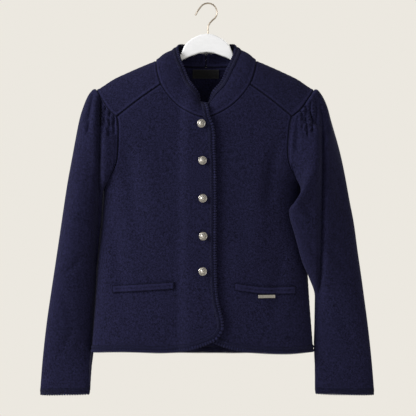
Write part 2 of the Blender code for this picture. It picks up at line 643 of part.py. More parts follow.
def make_button(name, x, z, material, mesh=None):
    """A domed metal button with a raised centre and a shank: one turned profile, shared by all five."""
    half = steady(MIDDLE, z) - x
    turn = turn_of(half, z)
    seat = body_point(-1, -1, np.array([turn]), np.array([z]))[0]
    if mesh is None:
        mesh = bpy.data.meshes.new("button")
        profile = [(radius * MM, 0, height * MM) for radius, height in BUTTON_PROFILE]
        mesh.from_pydata(profile, [(i, i + 1) for i in range(len(profile) - 1)], [])
    obj = bpy.data.objects.new(name, mesh)
    if not mesh.materials:
        mesh.materials.append(material)
    jacket.objects.link(obj)
    turned = obj.modifiers.new("turned", "SCREW")
    turned.steps = turned.render_steps = BUTTON_TURNS
    turned.use_merge_vertices = True
    turned.merge_threshold = 1e-6
    shank = -BUTTON_PROFILE[-1][1]
    obj.location = (seat[0] * MM, (seat[1] - SEAM - shank) * MM, seat[2] * MM)
    obj.rotation_euler = (math.radians(90), 0, 0)
    return mesh


def make_bar(name, material):
    """A small plain metal bar sewn on under the left pocket welt."""
    z = np.array([BAR_Z])
    turn = turn_of(np.array([BAR_HALF]), z)
    seat, normal = body_point(1, -1, turn, z)[0], body_normal(1, -1, turn, z)[0]
    mesh = bpy.data.meshes.new(name)
    shape = bmesh.new()
    bmesh.ops.create_cube(shape, size=MM)
    bmesh.ops.scale(shape, vec=(BAR_LONG, BAR_THICK, BAR_HIGH), verts=shape.verts)
    shape.to_mesh(mesh)
    shape.free()
    obj = place(name, mesh, material)
    edges = obj.modifiers.new("edges", "BEVEL")
    edges.width, edges.segments = 0.5 * MM, 2
    out = seat + (SEAM + 0.05 + BAR_THICK / 2) * normal
    obj.location = out * MM
    obj.rotation_euler = (math.asin(-normal[2]), 0, math.atan2(normal[0], -normal[1]))
    return obj


def hanger_outline():
    """The hanger's outline in x, z: head, arms just under the shoulder line, and lower edge."""
    arm = np.linspace(66, HANGER_TIP - 3, 9)
    top = [(HANGER_MIDDLE + half, z, half) for half, z in HANGER_HEAD]
    top += [(None, steady(SHOULDER, half) - HANGER_BELOW, half) for half in arm]
    tip_z = steady(SHOULDER, HANGER_TIP) - HANGER_BELOW
    top += [(None, tip_z - 4, HANGER_TIP), (None, tip_z - 13, HANGER_TIP - 2)]
    deep = steady(((54, 12), (100, 20), (150, HANGER_DEEP), (205, 19)), arm[::-1])
    low = [(None, steady(SHOULDER, half) - HANGER_BELOW - drop, half) for half, drop in zip(arm[::-1], deep)]
    low += [(HANGER_MIDDLE + half, z, half) for half, z in HANGER_HEAD_FOOT]
    loop = []
    for side in (1, -1):
        run = [(x if x is not None else steady(MIDDLE, z) + half, z, half) for x, z, half in top + low]
        run = [(x, z) if side > 0 else (2 * (x - half) - x, z) for x, z, half in run]
        loop += run[:-1] if side > 0 else run[::-1][:-1]
    return loop


def make_hanger(material):
    """A flat hanger: its outline as a filled curve of half its thickness each way, drilled for the hook."""
    curve = bpy.data.curves.new("hanger", "CURVE")
    curve.dimensions, curve.fill_mode = "2D", "BOTH"
    curve.bevel_depth, curve.bevel_resolution = HANGER_ROUND * MM, 1
    curve.extrude, curve.offset = (HANGER_THICK / 2 - HANGER_ROUND) * MM, -HANGER_ROUND * MM
    outline = hanger_outline()
    spline = curve.splines.new("POLY")
    spline.points.add(len(outline) - 1)
    for point, (x, z) in zip(spline.points, outline):
        point.co = (x * MM, z * MM, 0, 1)
    spline.use_cyclic_u = True
    flat = bpy.data.objects.new("outline", curve)
    jacket.objects.link(flat)
    flat.rotation_euler = (math.radians(90), 0, 0)
    bpy.context.view_layer.update()
    graph = bpy.context.evaluated_depsgraph_get()
    mesh = bpy.data.meshes.new_from_object(flat.evaluated_get(graph))
    shape = bmesh.new()
    shape.from_mesh(mesh)
    bmesh.ops.remove_doubles(shape, verts=shape.verts, dist=1e-6)
    shape.to_mesh(mesh)
    shape.free()
    mesh.materials.clear()
    hanger = place("hanger", mesh, material)
    hanger.matrix_world = flat.matrix_world
    bpy.data.objects.remove(flat)
    bpy.ops.mesh.primitive_cylinder_add(vertices=16, radius=(WIRE + SEAM) * MM, depth=24 * MM)
    drill = bpy.context.object
    drill.name = "drill"
    drill.location = (0, 0, (HOOK_SHANK[0][1] - SEAM + 12) * MM)
    drill.hide_render, drill.display_type = True, "WIRE"
    for collection in list(drill.users_collection):
        collection.objects.unlink(drill)
    cutters.objects.link(drill)
    hole = hanger.modifiers.new("hole", "BOOLEAN")
    hole.operation, hole.object = "DIFFERENCE", drill
    return hanger


def make_hook(material):
    """The hanger's wire hook: a shank, the loop that hangs, and an open tip."""
    turns = np.radians(np.linspace(LOOP_FROM, LOOP_TO, 11))
    centre_z = WIRE - LOOP
    loop = [(LOOP * math.cos(turn), centre_z + LOOP * math.sin(turn)) for turn in turns]
    points = list(HOOK_SHANK) + loop + list(HOOK_TIP)
    curve = bpy.data.curves.new("hanger_hook", "CURVE")
    curve.dimensions = "3D"
    curve.bevel_depth, curve.bevel_resolution = WIRE * MM, 2
    curve.use_fill_caps = True
    spline = curve.splines.new("POLY")
    spline.points.add(len(points) - 1)
    for point, (x, z) in zip(spline.points, points):
        point.co = (x * MM, 0, z * MM, 1)
    curve.materials.append(material)
    hook = bpy.data.objects.new("hanger_hook", curve)
    jacket.objects.link(hook)
    return hook


def finish(name, colour, roughness, metallic=0.0):
    material = bpy.data.materials.new(name)
    material.use_nodes = True
    shader = material.node_tree.nodes["Principled BSDF"]
    shader.inputs["Base Color"].default_value = (*colour, 1)
    shader.inputs["Roughness"].default_value = roughness
    shader.inputs["Metallic"].default_value = metallic
    return material


def build():
    wool, braided = finish("wool", NAVY, 0.95), finish("braid", BRAID_NAVY, 0.85)
    silver, steel = finish("button_metal", SILVER, 0.38, 1.0), finish("hook_metal", STEEL, 0.35, 1.0)
    white, black = finish("hanger_paint", WHITE, 0.35), finish("label_cloth", BLACK, 0.8)

    for side, word in ((-1, "right"), (1, "left")):
        cloth(f"front_{word}", *panel(side, -1, front_grid(side)), wool)
        cloth(f"yoke_{word}", *yoke_panel(side), wool)
        cloth(f"collar_{word}", *collar_grid(side), wool)
        rings, normals = sleeve_grid(side)
        for face, front in (("front", True), ("back", False)):
            cloth(f"sleeve_{face}_upper_{word}", *sleeve_quarter(rings, normals, front, True), wool)
            cloth(f"sleeve_{face}_lower_{word}", *sleeve_quarter(rings, normals, front, False), wool)
        braid(f"edging_cuff_{word}", rings[-1], normals[-1], side, braided, closed=True)
        braid(f"edging_{word}", *edge_path(side), side, braided, start=(side, 0, 0))

    back = back_grid()
    cloth("back", *panel(1, 1, back), wool, mirrored=back.shape[1] // 2)
    points, normals = panel(1, 1, back[0])
    braid("edging_back_hem", points, normals, -1, braided)

    make_welt("pocket_welt_right", -1, WELT_RIGHT, wool)
    make_welt("pocket_welt_left", 1, WELT_LEFT, wool)
    make_label("neck_label", black)
    make_bar("pocket_bar", silver)
    button = None
    for number, (x, z) in enumerate(BUTTONS, 1):
        button = make_button(f"button_{number}", x, z, silver, button)
    make_hanger(white)
    make_hook(steel)


for old in list(bpy.data.objects):
    bpy.data.objects.remove(old)
jacket = bpy.data.collections.new("wool_jacket")
cutters = bpy.data.collections.new("cutters")
for collection in (jacket, cutters):
    bpy.context.scene.collection.children.link(collection)
build()
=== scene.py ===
"""A navy wool jacket on its hanger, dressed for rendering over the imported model.

Run as a script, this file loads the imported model, makes the finished pieces through its own operators and
hands the scene over. The same steps also stand in a panel, one button for each group of pieces.

Tables and sizes are in millimetres, and the shape is made in metres at the very end. The front faces -Y,
+Z is up, and the origin is the inner top of the hook's loop. Right and left are the wearer's, so the right
front is on the -X side. "half" is a distance from the garment's middle line, "side" is -1 for right and +1
for left, and "face" is -1 for the front and +1 for the back.
"""

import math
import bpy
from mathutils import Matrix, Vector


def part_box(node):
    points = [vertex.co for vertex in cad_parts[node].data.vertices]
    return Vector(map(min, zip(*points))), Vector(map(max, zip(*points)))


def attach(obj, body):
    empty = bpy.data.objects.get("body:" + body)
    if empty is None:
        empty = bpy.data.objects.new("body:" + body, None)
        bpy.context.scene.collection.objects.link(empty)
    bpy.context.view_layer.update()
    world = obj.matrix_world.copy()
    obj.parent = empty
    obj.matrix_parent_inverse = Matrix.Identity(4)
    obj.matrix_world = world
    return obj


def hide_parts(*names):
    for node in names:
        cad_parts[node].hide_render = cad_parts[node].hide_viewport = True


bl_info = {
    "name": "Wool Jacket on a Hanger",
    "version": (1, 0, 0),
    "blender": (4, 5, 0),
    "location": "View3D > Sidebar > Jacket",
    "description": "Makes the finished cloth, edging, buttons and hanger of a wool jacket",
    "category": "Add Mesh",
}

import bmesh
import bpy
import numpy as np
from bpy.props import FloatProperty, FloatVectorProperty, PointerProperty
from bpy.types import Operator, Panel, PropertyGroup

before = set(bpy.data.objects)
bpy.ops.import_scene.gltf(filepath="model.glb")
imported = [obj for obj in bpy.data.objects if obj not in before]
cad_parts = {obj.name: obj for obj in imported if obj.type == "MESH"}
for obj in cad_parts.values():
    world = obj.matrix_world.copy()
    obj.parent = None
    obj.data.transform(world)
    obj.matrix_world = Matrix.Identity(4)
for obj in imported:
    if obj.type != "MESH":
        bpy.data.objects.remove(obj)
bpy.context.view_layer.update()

MM = 0.001
BODY = "root"

# The cloth's thickness, the hair's breadth between sewn pieces, and how far one is drawn back for it
CLOTH, SEAM = 2.2, 0.02
DRAWN_BACK = 1.4 * SEAM

# Middle line of the garment: z, x
MIDDLE = ((-720, -11.2), (-310, -10.8), (-240, -7.8), (-116, -3.8), (-60, -1.5))
# Shoulder line: half, z
SHOULDER = (
    (0, -92), (60, -103), (102, -116), (134, -129), (161, -141), (188, -154), (206, -166), (221, -176),
    (300, -232),
)
# Body: z, half width; and z, depth of the front and of the back
BODY_HALF = (
    (-716, 226), (-695, 224.7), (-603, 217.6), (-525, 212.5), (-434, 203.4),
    (-373, 201), (-340, 222), (-300, 250), (-240, 290), (-176, 320), (-116, 330),
)
FRONT_DEPTH = ((-716, 45), (-600, 48), (-450, 51), (-350, 53), (-240, 50), (-116, 48))
BACK_DEPTH = ((-716, 40), (-350, 42), (-116, 38))
BODY_SQUARENESS = 2.6
SHOULDER_DROP = 150  # depth below the shoulder line at which the body reaches its full depth
SLOPE_STEP = 1e-3  # the step over which the body's slope is measured
SIDE_SEAM_SLACK = 1e-6  # how near a quarter turn counts as the side seam
OUT_X, OUT_Z = 0.3, 0.1  # weights of X and Z, beside that of Y, in telling the body's outer side

# Where the right front laps over the left: lift at the edge, and the halves between which it fades
LAP_LIFT, LAP_FULL, LAP_NONE = 7.2, 29, 52

# Neck seam, from the front edge to the yoke's seam and on to the shoulder: half, z
NECK_FRONT = ((2, -235), (17, -231), (36, -222), (58, -207), (76, -188), (90, -167))
NECK_YOKE = ((90, -167), (98, -141), (102, -116))
NECK_BACK = ((102, -116), (88, -119), (66, -123), (36, -126), (0, -127))
YOKE_SEAM = ((90, -167), (132, -197), (176, -232))
# Armhole: half, z
ARMHOLE_YOKE = ((221, -176), (205, -201), (188, -223), (176, -232))
ARMHOLE_FRONT = (
    (176, -232), (173, -242), (170.5, -270), (170, -300), (172, -320), (181, -345), (192, -362), (201, -373),
)
ARMHOLE_BACK = (
    (221, -176), (208, -204), (197, -240), (190, -270), (186, -300), (187, -320), (191, -344), (196, -362),
    (201, -373),
)
# Front edges down to the middle of the rounded corner, and hems on to the side seam: half, z
EDGE_RIGHT = (
    (2, -235), (-5, -250), (-12, -304), (-14, -366), (-14.5, -529), (-15.5, -567), (-18, -596), (-24, -625),
    (-28.5, -644), (-29, -656),
)
HEM_RIGHT = ((-29, -656), (-23, -666), (-5, -676), (33, -688), (72, -693), (148, -692.5), (226, -695))
EDGE_LEFT = (
    (2, -235), (-6, -252), (-12, -304), (-14, -366), (-14.5, -529), (-15, -572), (-14, -605), (-9, -630),
    (2, -651),
)
HEM_LEFT = ((2, -651), (14, -664), (35, -677), (61, -686), (111, -694), (161, -697), (226, -694.5))
HEM_BACK = ((-226, -695), (-120, -702), (0, -703), (120, -702), (226, -694.5))

# Collar's upper edge, from the front corner to the centre back: half, z, y; and how far its middle swells out
COLLAR_TOP = (
    (10, -206, -37), (22, -189, -38), (40, -169, -35), (53, -141, -30), (62, -121, -23), (68.5, -103, -12),
    (70, -93, 2), (57, -92, 19), (30, -96, 28), (0, -98, 31),
)
COLLAR_SWELL = 3.0

# Sleeves: the section's outer and inner end, how far in front (-) or behind (+) each end lies, how far the
# section stands out to the front and back of the line between them, and how much of the armhole's own curve
# is left
SLEEVE_COLUMNS = ("outer_x", "outer_z", "inner_x", "inner_z", "outer_y", "inner_y", "front", "back", "scoop")
SLEEVE_RIGHT = (
    (226.4, -176.2, 212.6, -373.0, 0, 0, 44, 37, 1.0),
    (231.5, -175.8, 214.5, -378, 0, 0, 46, 38, 0.78),
    (238.0, -182, 215.5, -384, -1, 1, 49, 40, 0.52),
    (244.5, -193, 215.5, -390, -2, 3, 50, 41, 0.30),
    (251.0, -209, 215.0, -396, -2, 6, 50, 42, 0.14),
    (257.5, -229, 214.0, -403, -2, 10, 50, 42, 0.05),
    (263.0, -254, 212.8, -411, -2, 14, 50, 42, 0),
    (268.5, -283, 212.0, -421, -2, 17, 50, 41, 0),
    (275.0, -318, 212.2, -434, -2, 19, 49, 40, 0),
    (283.0, -361, 213.6, -453, -2, 20, 48, 38, 0),
    (291.0, -412, 216.5, -481, -2, 20, 47, 36, 0),
    (299.5, -470, 221.0, -518, -2, 20, 44, 33, 0),
    (308.5, -530, 225.8, -561, -2, 19, 40, 29, 0),
    (318.0, -592, 230.2, -611, -2, 18, 35, 25, 0),
    (326.0, -646, 233.6, -656, -1, 17, 29, 20, 0),
    (332.0, -695, 236.2, -699, 0, 14, 23, 17, 0),
    (336.6, -742, 236.2, -743, 0, 6, 18, 16, 0),
    (339.8, -783, 234.5, -781, 0, 0, 15, 14, 0),
)
SLEEVE_LEFT = (
    (215.2, -177.2, 189.9, -373.0, 0, 0, 44, 37, 1.0),
    (221.0, -177.2, 192.0, -378, 0, -1, 46, 38, 0.78),
    (228.0, -184.5, 192.0, -384, -1, -5, 48, 39, 0.52),
    (234.7, -196, 190.0, -391, -2, -11, 48, 39, 0.30),
    (241.5, -213, 186.0, -398, -3, -20, 47, 38, 0.14),
    (248.0, -238, 180.0, -404, -4, -30, 44, 36, 0.05),
    (254.5, -261, 173.0, -410, -5, -39, 41, 33, 0),
    (261.0, -283, 167.0, -416, -5, -46, 37, 29, 0),
    (269.0, -314, 164.0, -424, -5, -50, 32, 26, 0),
    (277.5, -355, 166.0, -438, -5, -50, 27, 23, 0),
    (286.0, -402, 172.5, -459, -5, -48, 25, 21, 0),
    (294.5, -446, 180.0, -485, -5, -44, 24, 20, 0),
    (302.5, -504, 191.0, -523, -4, -36, 24, 20, 0),
    (310.0, -556, 206.0, -556, -4, -23, 25, 22, 0),
    (317.0, -606, 219.2, -597, -2, -9, 25, 24, 0),
    (323.5, -654, 218.8, -649, -1, -4, 22, 21, 0),
    (328.5, -697, 217.5, -695, 0, -2, 19, 18, 0),
    (333.0, -743, 216.0, -742, 0, 0, 16, 15, 0),
    (336.2, -783, 217.0, -781, 0, 0, 14, 13, 0),
)
SLEEVE_ROUNDNESS = 2.2
SCOOP_FADE = 0.4  # the share of the armhole's curve over whose loss the sleeve's folds set in
SLEEVE_CLEAR = 4.5  # the least gap from a hanging sleeve to the body
CLEAR_BELOW = 2  # how far below the armhole's last turn the sleeve is first kept clear of the body
LEAST_REACH = 0.3  # a bound on how far a point deep in the body is moved out
UNDERARM_EASE = 1.8  # how much wider than a seam the sleeve stands off at the underarm
# The underarm: which way its lowest point is moved, the sleeve's own normal there, and where that sets in
UNDERARM_AWAY, UNDERARM_X, UNDERARM_Z = (0.8, 0.6), -0.85, 0.5
UNDERARM_FROM, UNDERARM_OVER = 0.25, 0.6

# Grooves between the gathers and down the sleeve, on the front (-1) or the back (+1)
GATHER_COLUMNS = ("face", "head_x", "head_z", "foot_x", "foot_z", "depth", "width")
GATHERS_RIGHT = (
    (-1, 231, -184, 243, -240, 4, 5),
    (-1, 216, -196, 217, -310, 13.5, 6),
    (-1, 217, -310, 229, -520, 12.5, 6),
    (-1, 229, -520, 236, -700, 7, 6),
    (-1, 204, -212, 207, -250, 6, 5),
    (-1, 192, -226, 194, -252, 4, 4),
    (1, 228, -186, 236, -250, 5, 6),
    (1, 213, -205, 216, -300, 8, 7),
    (1, 216, -300, 226, -480, 6, 8),
    (1, 203, -228, 205, -280, 5, 6),
)
GATHERS_LEFT = (
    (-1, 224, -186, 229, -240, 11, 5),
    (-1, 229, -240, 226, -570, 11.5, 6),
    (-1, 226, -570, 222, -700, 4, 6),
    (-1, 198, -210, 213, -246, 6, 5),
    (-1, 189, -222, 195, -246, 4, 4),
    (-1, 176, -238, 178, -300, 5, 5),
    (1, 217, -188, 226, -252, 5, 6),
    (1, 203, -205, 207, -300, 8, 7),
    (1, 207, -300, 216, -470, 6, 8),
    (1, 192, -228, 195, -280, 5, 6),
)

# Pocket welts: thickness, gap to the front, puff and rounding of the edge, then half and z along each edge
WELT_THICK, WELT_GAP, WELT_PUFF, WELT_ROUND = 1.9, 0.9, 1.1, 4.0
WELT_RIGHT = {
    "top": ((57, -563.5), (118, -567.5), (181, -571.7)),
    "foot": ((57, -578.5), (118, -582.5), (181, -587.1)),
}
WELT_LEFT = {
    "top": ((64, -565.9), (128, -573.7), (187, -572.8)),
    "foot": ((64, -580.8), (110, -587.5), (187, -589.5)),
}
# The welts' stitching: depth along the foot and at the ends, distance in, width; and the puckers beside it
WELT_STITCH, WELT_END_STITCH, WELT_STITCH_IN, WELT_STITCH_WIDE = 0.5, 0.35, 2.4, 0.7
WELT_PUCKER, WELT_PUCKER_LONG, WELT_PUCKER_WANDER = 0.16, 9.5, 14
WELT_PUCKER_IN, WELT_PUCKER_WIDE = 4, 3

# The bar under the left welt: size, place, bevel, and the frame of its face with a sunk middle
BAR_LONG, BAR_HIGH, BAR_THICK, BAR_HALF, BAR_Z, BAR_GAP = 35, 6.4, 1.6, 128.5, -593.4, 0.05
BAR_BEVEL, BAR_BEVEL_STEPS, BAR_FRAME, BAR_STEP, BAR_SUNK, BAR_WORN = 0.55, 4, 0.8, 0.35, -0.3, 0.75
FACES_FRONT = -0.99  # a face whose normal's Y is below this faces straight to the front

# The neck label: half its width, top, foot, thickness and gap to the back, and its raised border
LABEL_HALF, LABEL_TOP, LABEL_FOOT, LABEL_THICK, LABEL_GAP = 27, -130.5, -148.5, 1.0, 0.9
BORDER_HIGH, BORDER_IN, BORDER_WIDE = 0.25, 1.6, 0.6

# How finely the cloth is cut into faces: numbers of columns and rows, or the length of a step
COLUMNS_NECK, COLUMNS_YOKE, COLUMNS_BACK_NECK = 22, 34, 44
ROWS_ARM_YOKE, ROWS_ARM_FRONT, ROWS_ARM_BACK, ROWS_SIDE = 34, 44, 60, 66
ROWS_COLLAR = 18
CURVE_POINTS, HEM_POINTS = 600, 400  # points on a curve, and on a hem, before they are spaced out evenly
HEM_TURN = 40  # how much more closely a hem's points stand where it turns round the side
SLEEVE_STEP, CAP_STEPS, LEAST_STEPS = 4.2, 6, 4  # row distance; fewest steps between table rows, cap first
SLEEVE_TURN = 6  # rows over which the cap turns out of the armhole
CAP_ROWS = 3  # rows over which the cap's gathers set in
WELT_COLUMNS, WELT_ROWS, WELT_WARP = 90, 16, 0.5
LABEL_COLUMNS, LABEL_ROWS = 37, 15
SHARP, BUTTON_SHARP, BAR_SHARP = 50, 60, 40  # angles in degrees above which an edge stays sharp

# Soft folds of the body's cloth. side is -1 or +1 for one front and 0 on the back, where half is signed. bow
# is how far the fold's middle strays from a straight line, and a negative height is a trough.
FOLD_COLUMNS = ("face", "side", "head_half", "head_z", "foot_half", "foot_z", "bow", "height", "width")
BODY_FOLDS = (
    (-1, -1, 152, -252, 126, -470, 6, -3.5, 15),
    (-1, -1, 118, -262, 98, -530, -5, 2.7, 20),
    (-1, -1, 176, -400, 152, -655, 8, -3.2, 14),
    (-1, -1, 62, -330, 68, -560, 4, 1.9, 22),
    (-1, -1, 40, -590, 48, -700, 0, -1.9, 13),
    (-1, 1, 156, -262, 132, -440, -6, -3.8, 12),
    (-1, 1, 112, -300, 98, -570, 5, 2.6, 22),
    (-1, 1, 168, -470, 148, -660, -6, -3.0, 15),
    (-1, 1, 56, -420, 72, -650, 5, 2.1, 20),
    (1, 0, -122, -236, -94, -560, 10, -4.8, 20),
    (1, 0, 112, -230, 82, -600, -8, -5.1, 22),
    (1, 0, 2, -300, 8, -650, 4, 3.8, 27),
    (1, 0, -62, -420, -72, -690, 0, 3.2, 22),
    (1, 0, -160, -400, -150, -640, 4, -3.5, 15),
    (1, 0, 152, -420, 140, -690, 0, 3.5, 19),
)
# Small gathers at the sleeve's cap and slack folds lower down, with the columns of the gathers above
CAP_GATHERS = (
    (-1, 216, -190, 218, -250, 9.0, 4.6),
    (-1, 232, -188, 240, -262, 5.0, 4.2),
    (-1, 207, -204, 209, -262, 7.5, 3.2),
    (-1, 197, -214, 199, -270, 6.5, 3.0),
    (-1, 188, -224, 190, -268, 4.8, 2.8),
    (-1, 181, -232, 182, -270, 2.6, 2.8),
    (1, 212, -196, 221, -244, 5.4, 3.8),
    (1, 204, -212, 209, -262, 5.2, 3.6),
    (1, 197, -238, 199, -286, 3.6, 3.4),
)
SLACK_RIGHT = (
    (-1, 262, -330, 300, -470, 2.6, 11),
    (-1, 242, -500, 292, -560, 2.2, 9),
    (-1, 300, -560, 270, -660, 1.8, 10),
    (-1, 266, -640, 312, -740, 1.6, 10),
    (1, 250, -330, 290, -430, 3.2, 11),
    (1, 238, -520, 300, -580, 3.0, 10),
    (1, 300, -600, 262, -720, 2.2, 11),
)
SLACK_LEFT = (
    (-1, 252, -340, 280, -440, 2.2, 10),
    (-1, 232, -470, 286, -560, 2.4, 10),
    (-1, 180, -392, 216, -452, 3.0, 8),
    (-1, 196, -470, 226, -540, 2.4, 8),
    (-1, 262, -610, 302, -720, 1.6, 11),
    (1, 244, -330, 280, -430, 3.2, 11),
    (1, 232, -510, 294, -580, 3.0, 10),
    (1, 292, -600, 252, -720, 2.2, 11),
)

# The shares of a fold's length over which its ends fade, and how squarely a sleeve's folds face front or back
FOLD_ENDS, SLACK_ENDS, GATHER_ENDS, FACE_ON = 0.35, 0.4, 0.12, 0.7

# Lapped seams: width and height of the lap, the slope at its edge, its line of stitches, and its crease
LAP_WIDE, LAP_HIGH, LAP_EDGE = 5.6, 1.1, 1.8
STITCH_DEEP, STITCH_IN, STITCH_WIDE = 0.35, 0.6, 0.8
CREASE_DEEP, CREASE_WIDE = 0.4, 0.9
LAP_SLEEVE, LAP_FROM_Z, LAP_FADE = 8.0, -226, 22  # the wider lap round the armhole, and where it sets in
# Plain seams: width and depth of the dip, and height, distance and width of the puckers beside it
DIP_WIDE, DIP_DEEP, DIP_PUCKER, DIP_BESIDE, DIP_BESIDE_WIDE = 2.0, 1.0, 0.22, 3.5, 3.0
# Puckers along a seam: height and length, and how they wander, as strength and length
PUCKER, PUCKER_LONG, LAP_WANDER, DIP_WANDER = 0.3, 12.0, (0.8, 13.0), (0.9, 17.0)
FAR = 400.0  # a distance at which no seam is near

# Crocheted edging: the band beside the cloth, the groove, and the shells beyond it
BRAID_STEP, BAND_FROM, BAND_WIDE, GROOVE_WIDE, SHELL_WIDE = 0.85, 0.3, 7.2, 0.5, 6.6
BAND_RIM, BAND_HIGH, BAND_BLUNT, BAND_CUT, BRAID_UNDER = 0.5, 1.5, 0.7, 0.02, 2.4
SHELL_RIM, SHELL_LOW, SHELL_HIGH, SHELL_LEAST, SHELL_BLUNT = 0.05, 0.7, 1.5, 0.42, 0.12
SHELL_RISE_FROM, SHELL_RISE, SHELL_UNDER, SHELL_SWELL = 0.25, 3, 0.5, 1.3
# How the shells vary along the edging, the ripple of the band, and the spacing of its knots across
SHELL_WANDER = ((0.07, 37.0), (0.05, 11.3))
BAND_RIPPLE, KNOT_ACROSS = 0.16, 1.6
BAND_POINTS, SHELL_POINTS, BRAID_SOFT, BRAID_TURN, START_ROWS = 7, 7, 2, 5, 3

# Buttons, from the end of the shank out round the back and over the face: radius, height, wear of the metal
BUTTON_STEPS = (
    (1.9, -1.6, 0.2), (2.1, 0.1, 0.2), (6.4, 0.2, 0.2), (7.9, 0.5, 0.5), (8.45, 1.1, 0.9), (8.4, 1.9, 1.0),
    (8.0, 2.5, 1.0), (7.4, 2.6, 0.8), (6.95, 2.2, 0.0), (6.6, 2.2, 0.0), (5.9, 2.75, 0.7), (5.3, 2.95, 0.8),
    (4.8, 2.7, 0.2), (4.5, 2.7, 0.0), (4.0, 3.35, 0.5), (3.2, 3.95, 0.9), (2.2, 4.35, 0.8), (1.75, 4.1, 0.0),
    (1.45, 4.15, 0.1), (1.0, 4.6, 1.0), (0.4, 4.75, 1.0),
)
BUTTON_COUNT, BUTTON_TURN, BUTTON_SIDES = 5, 11, 96
FACE_HEIGHT, RIM_HEIGHT = 1.5, 1.0  # what stands higher is on the button's face, or on its rim and face
# The rings of beads and petals on the face: how many, radius of the ring, height and width
BEADS, BEAD_RING, BEAD_HIGH, BEAD_WIDE = 24, 5.6, 0.28, 0.55
PETALS, PETAL_RING, PETAL_HIGH, PETAL_WIDE = 8, 2.9, 0.22, 0.8

# Camera and stage, in metres
CAMERA_AT, CAMERA_LENS = (0, -2.45, -0.4162), 103.93
KEY_AT, FILL_AT, REAR_AT = (-2.6, -1.25, 0.6), (2.1, -1.9, -0.1), (1.3, 2.5, 0.6)
LIGHT_AIM, KEY_WIDE, OTHER_WIDE = (0, 0, -0.4), 1.5, 1.8
GROUND_WIDE, GROUND_Z, GROUND_SIDES = 2.0, -1.3, 96

SIDES = ((-1, "right"), (1, "left"))
SLEEVE_PARTS = (("front", "upper"), ("front", "lower"), ("back", "upper"), ("back", "lower"))


def colour_setting(name, description, default):
    return FloatVectorProperty(
        name=name, description=description, default=default, size=3, min=0.0, max=1.0, subtype="COLOR"
    )


def power_setting(name, description, default):
    return FloatProperty(name=name, description=description, default=default, min=0.0, subtype="POWER")


class JacketCloth(PropertyGroup):
    """What a user would change in the cloth and its trimmings."""

    fold_strength: FloatProperty(
        name="Fold strength",
        description="How deep the soft folds of the body are, against those of the photographed garment",
        default=1.0,
        min=0.0,
        max=2.0,
        subtype="FACTOR",
    )
    wool: colour_setting("Wool", "Colour of the wool cloth", (0.0052, 0.0052, 0.0165))
    nap_depth: FloatProperty(
        name="Nap depth",
        description="How high the felted surface of the wool stands",
        default=0.00035,
        min=0.0,
        max=0.002,
        precision=5,
        unit="LENGTH",
    )
    yarn: colour_setting("Edging yarn", "Colour of the crocheted edging", (0.0060, 0.0062, 0.0190))
    shell_pitch: FloatProperty(
        name="Shell pitch",
        description="Distance from one crocheted shell of the edging to the next",
        default=0.0052,
        min=0.003,
        max=0.012,
        precision=4,
        unit="LENGTH",
    )
    metal: colour_setting(
        "Button metal", "Colour of the worn metal of the buttons and the bar", (0.34, 0.325, 0.30)
    )


class JacketStage(PropertyGroup):
    """The light and the ground that the jacket is shown with."""

    key_power: power_setting("Key light", "Power of the large light at the upper left", 160.0)
    fill_power: power_setting("Fill light", "Power of the light on the other side", 3.0)
    rear_power: power_setting("Rear light", "Power of the light behind the garment", 45.0)
    ground: colour_setting("Background", "Colour of the plain background", (0.838, 0.807, 0.745))


def cloth_settings():
    return bpy.context.scene.jacket_cloth


def stage_settings():
    return bpy.context.scene.jacket_stage


def warped(count, ends=0.62, start=True):
    """Fractions from 0 to 1 that lie closer together at both ends, or only at the last one."""
    t = np.linspace(0, 1, count + 1)
    if start:
        return t - ends * np.sin(2 * math.pi * t) / (2 * math.pi)
    bent = t - ends * np.sin(math.pi * t) / math.pi
    return 1 - bent[::-1]


def fade(value):
    """A smooth step from 0 to 1."""
    value = np.clip(value, 0, 1)
    return value * value * (3 - 2 * value)


def bell(distance, middle, width):
    """1 at the middle, and soon 0 on both sides of it."""
    return np.exp(-(((distance - middle) / width) ** 2))


def unit(vectors):
    return vectors / np.linalg.norm(vectors, axis=-1, keepdims=True)


def run(points):
    """How far each point of a line lies along it."""
    return np.concatenate([[0], np.cumsum(np.linalg.norm(np.diff(points, axis=0), axis=1))])


def columns_at(at, length, table):
    """A table's columns at places given by the length along its rows."""
    return np.stack([np.interp(at, length, column) for column in table.T], axis=1)


def curve_between(value, tangent, step, part, t):
    """A cubic curve through the values, at the share t of the step that follows each numbered one."""
    return (
        value[part] * (1 + 2 * t) * (1 - t) ** 2
        + value[part + 1] * t * t * (3 - 2 * t)
        + step[part] * tangent[part] * t * (1 - t) ** 2
        + step[part] * tangent[part + 1] * t * t * (t - 1)
    )


def relief(side, face, half, z):
    """How far the soft folds of a body panel push its cloth out (+) or in (-)."""
    across = half if face < 0 else side * half
    move = np.zeros(np.shape(half))
    for row in BODY_FOLDS:
        fold = dict(zip(FOLD_COLUMNS, row))
        if fold["face"] != face or (face < 0 and fold["side"] != side):
            continue
        down = (fold["head_z"] - z) / (fold["head_z"] - fold["foot_z"])
        line = fold["head_half"] + (fold["foot_half"] - fold["head_half"]) * down
        line = line + 4 * fold["bow"] * down * (1 - down)
        ends = fade(down / FOLD_ENDS) * fade((1 - down) / FOLD_ENDS)
        move = move + fold["height"] * ends * bell(across, line, fold["width"])
    return move * cloth_settings().fold_strength


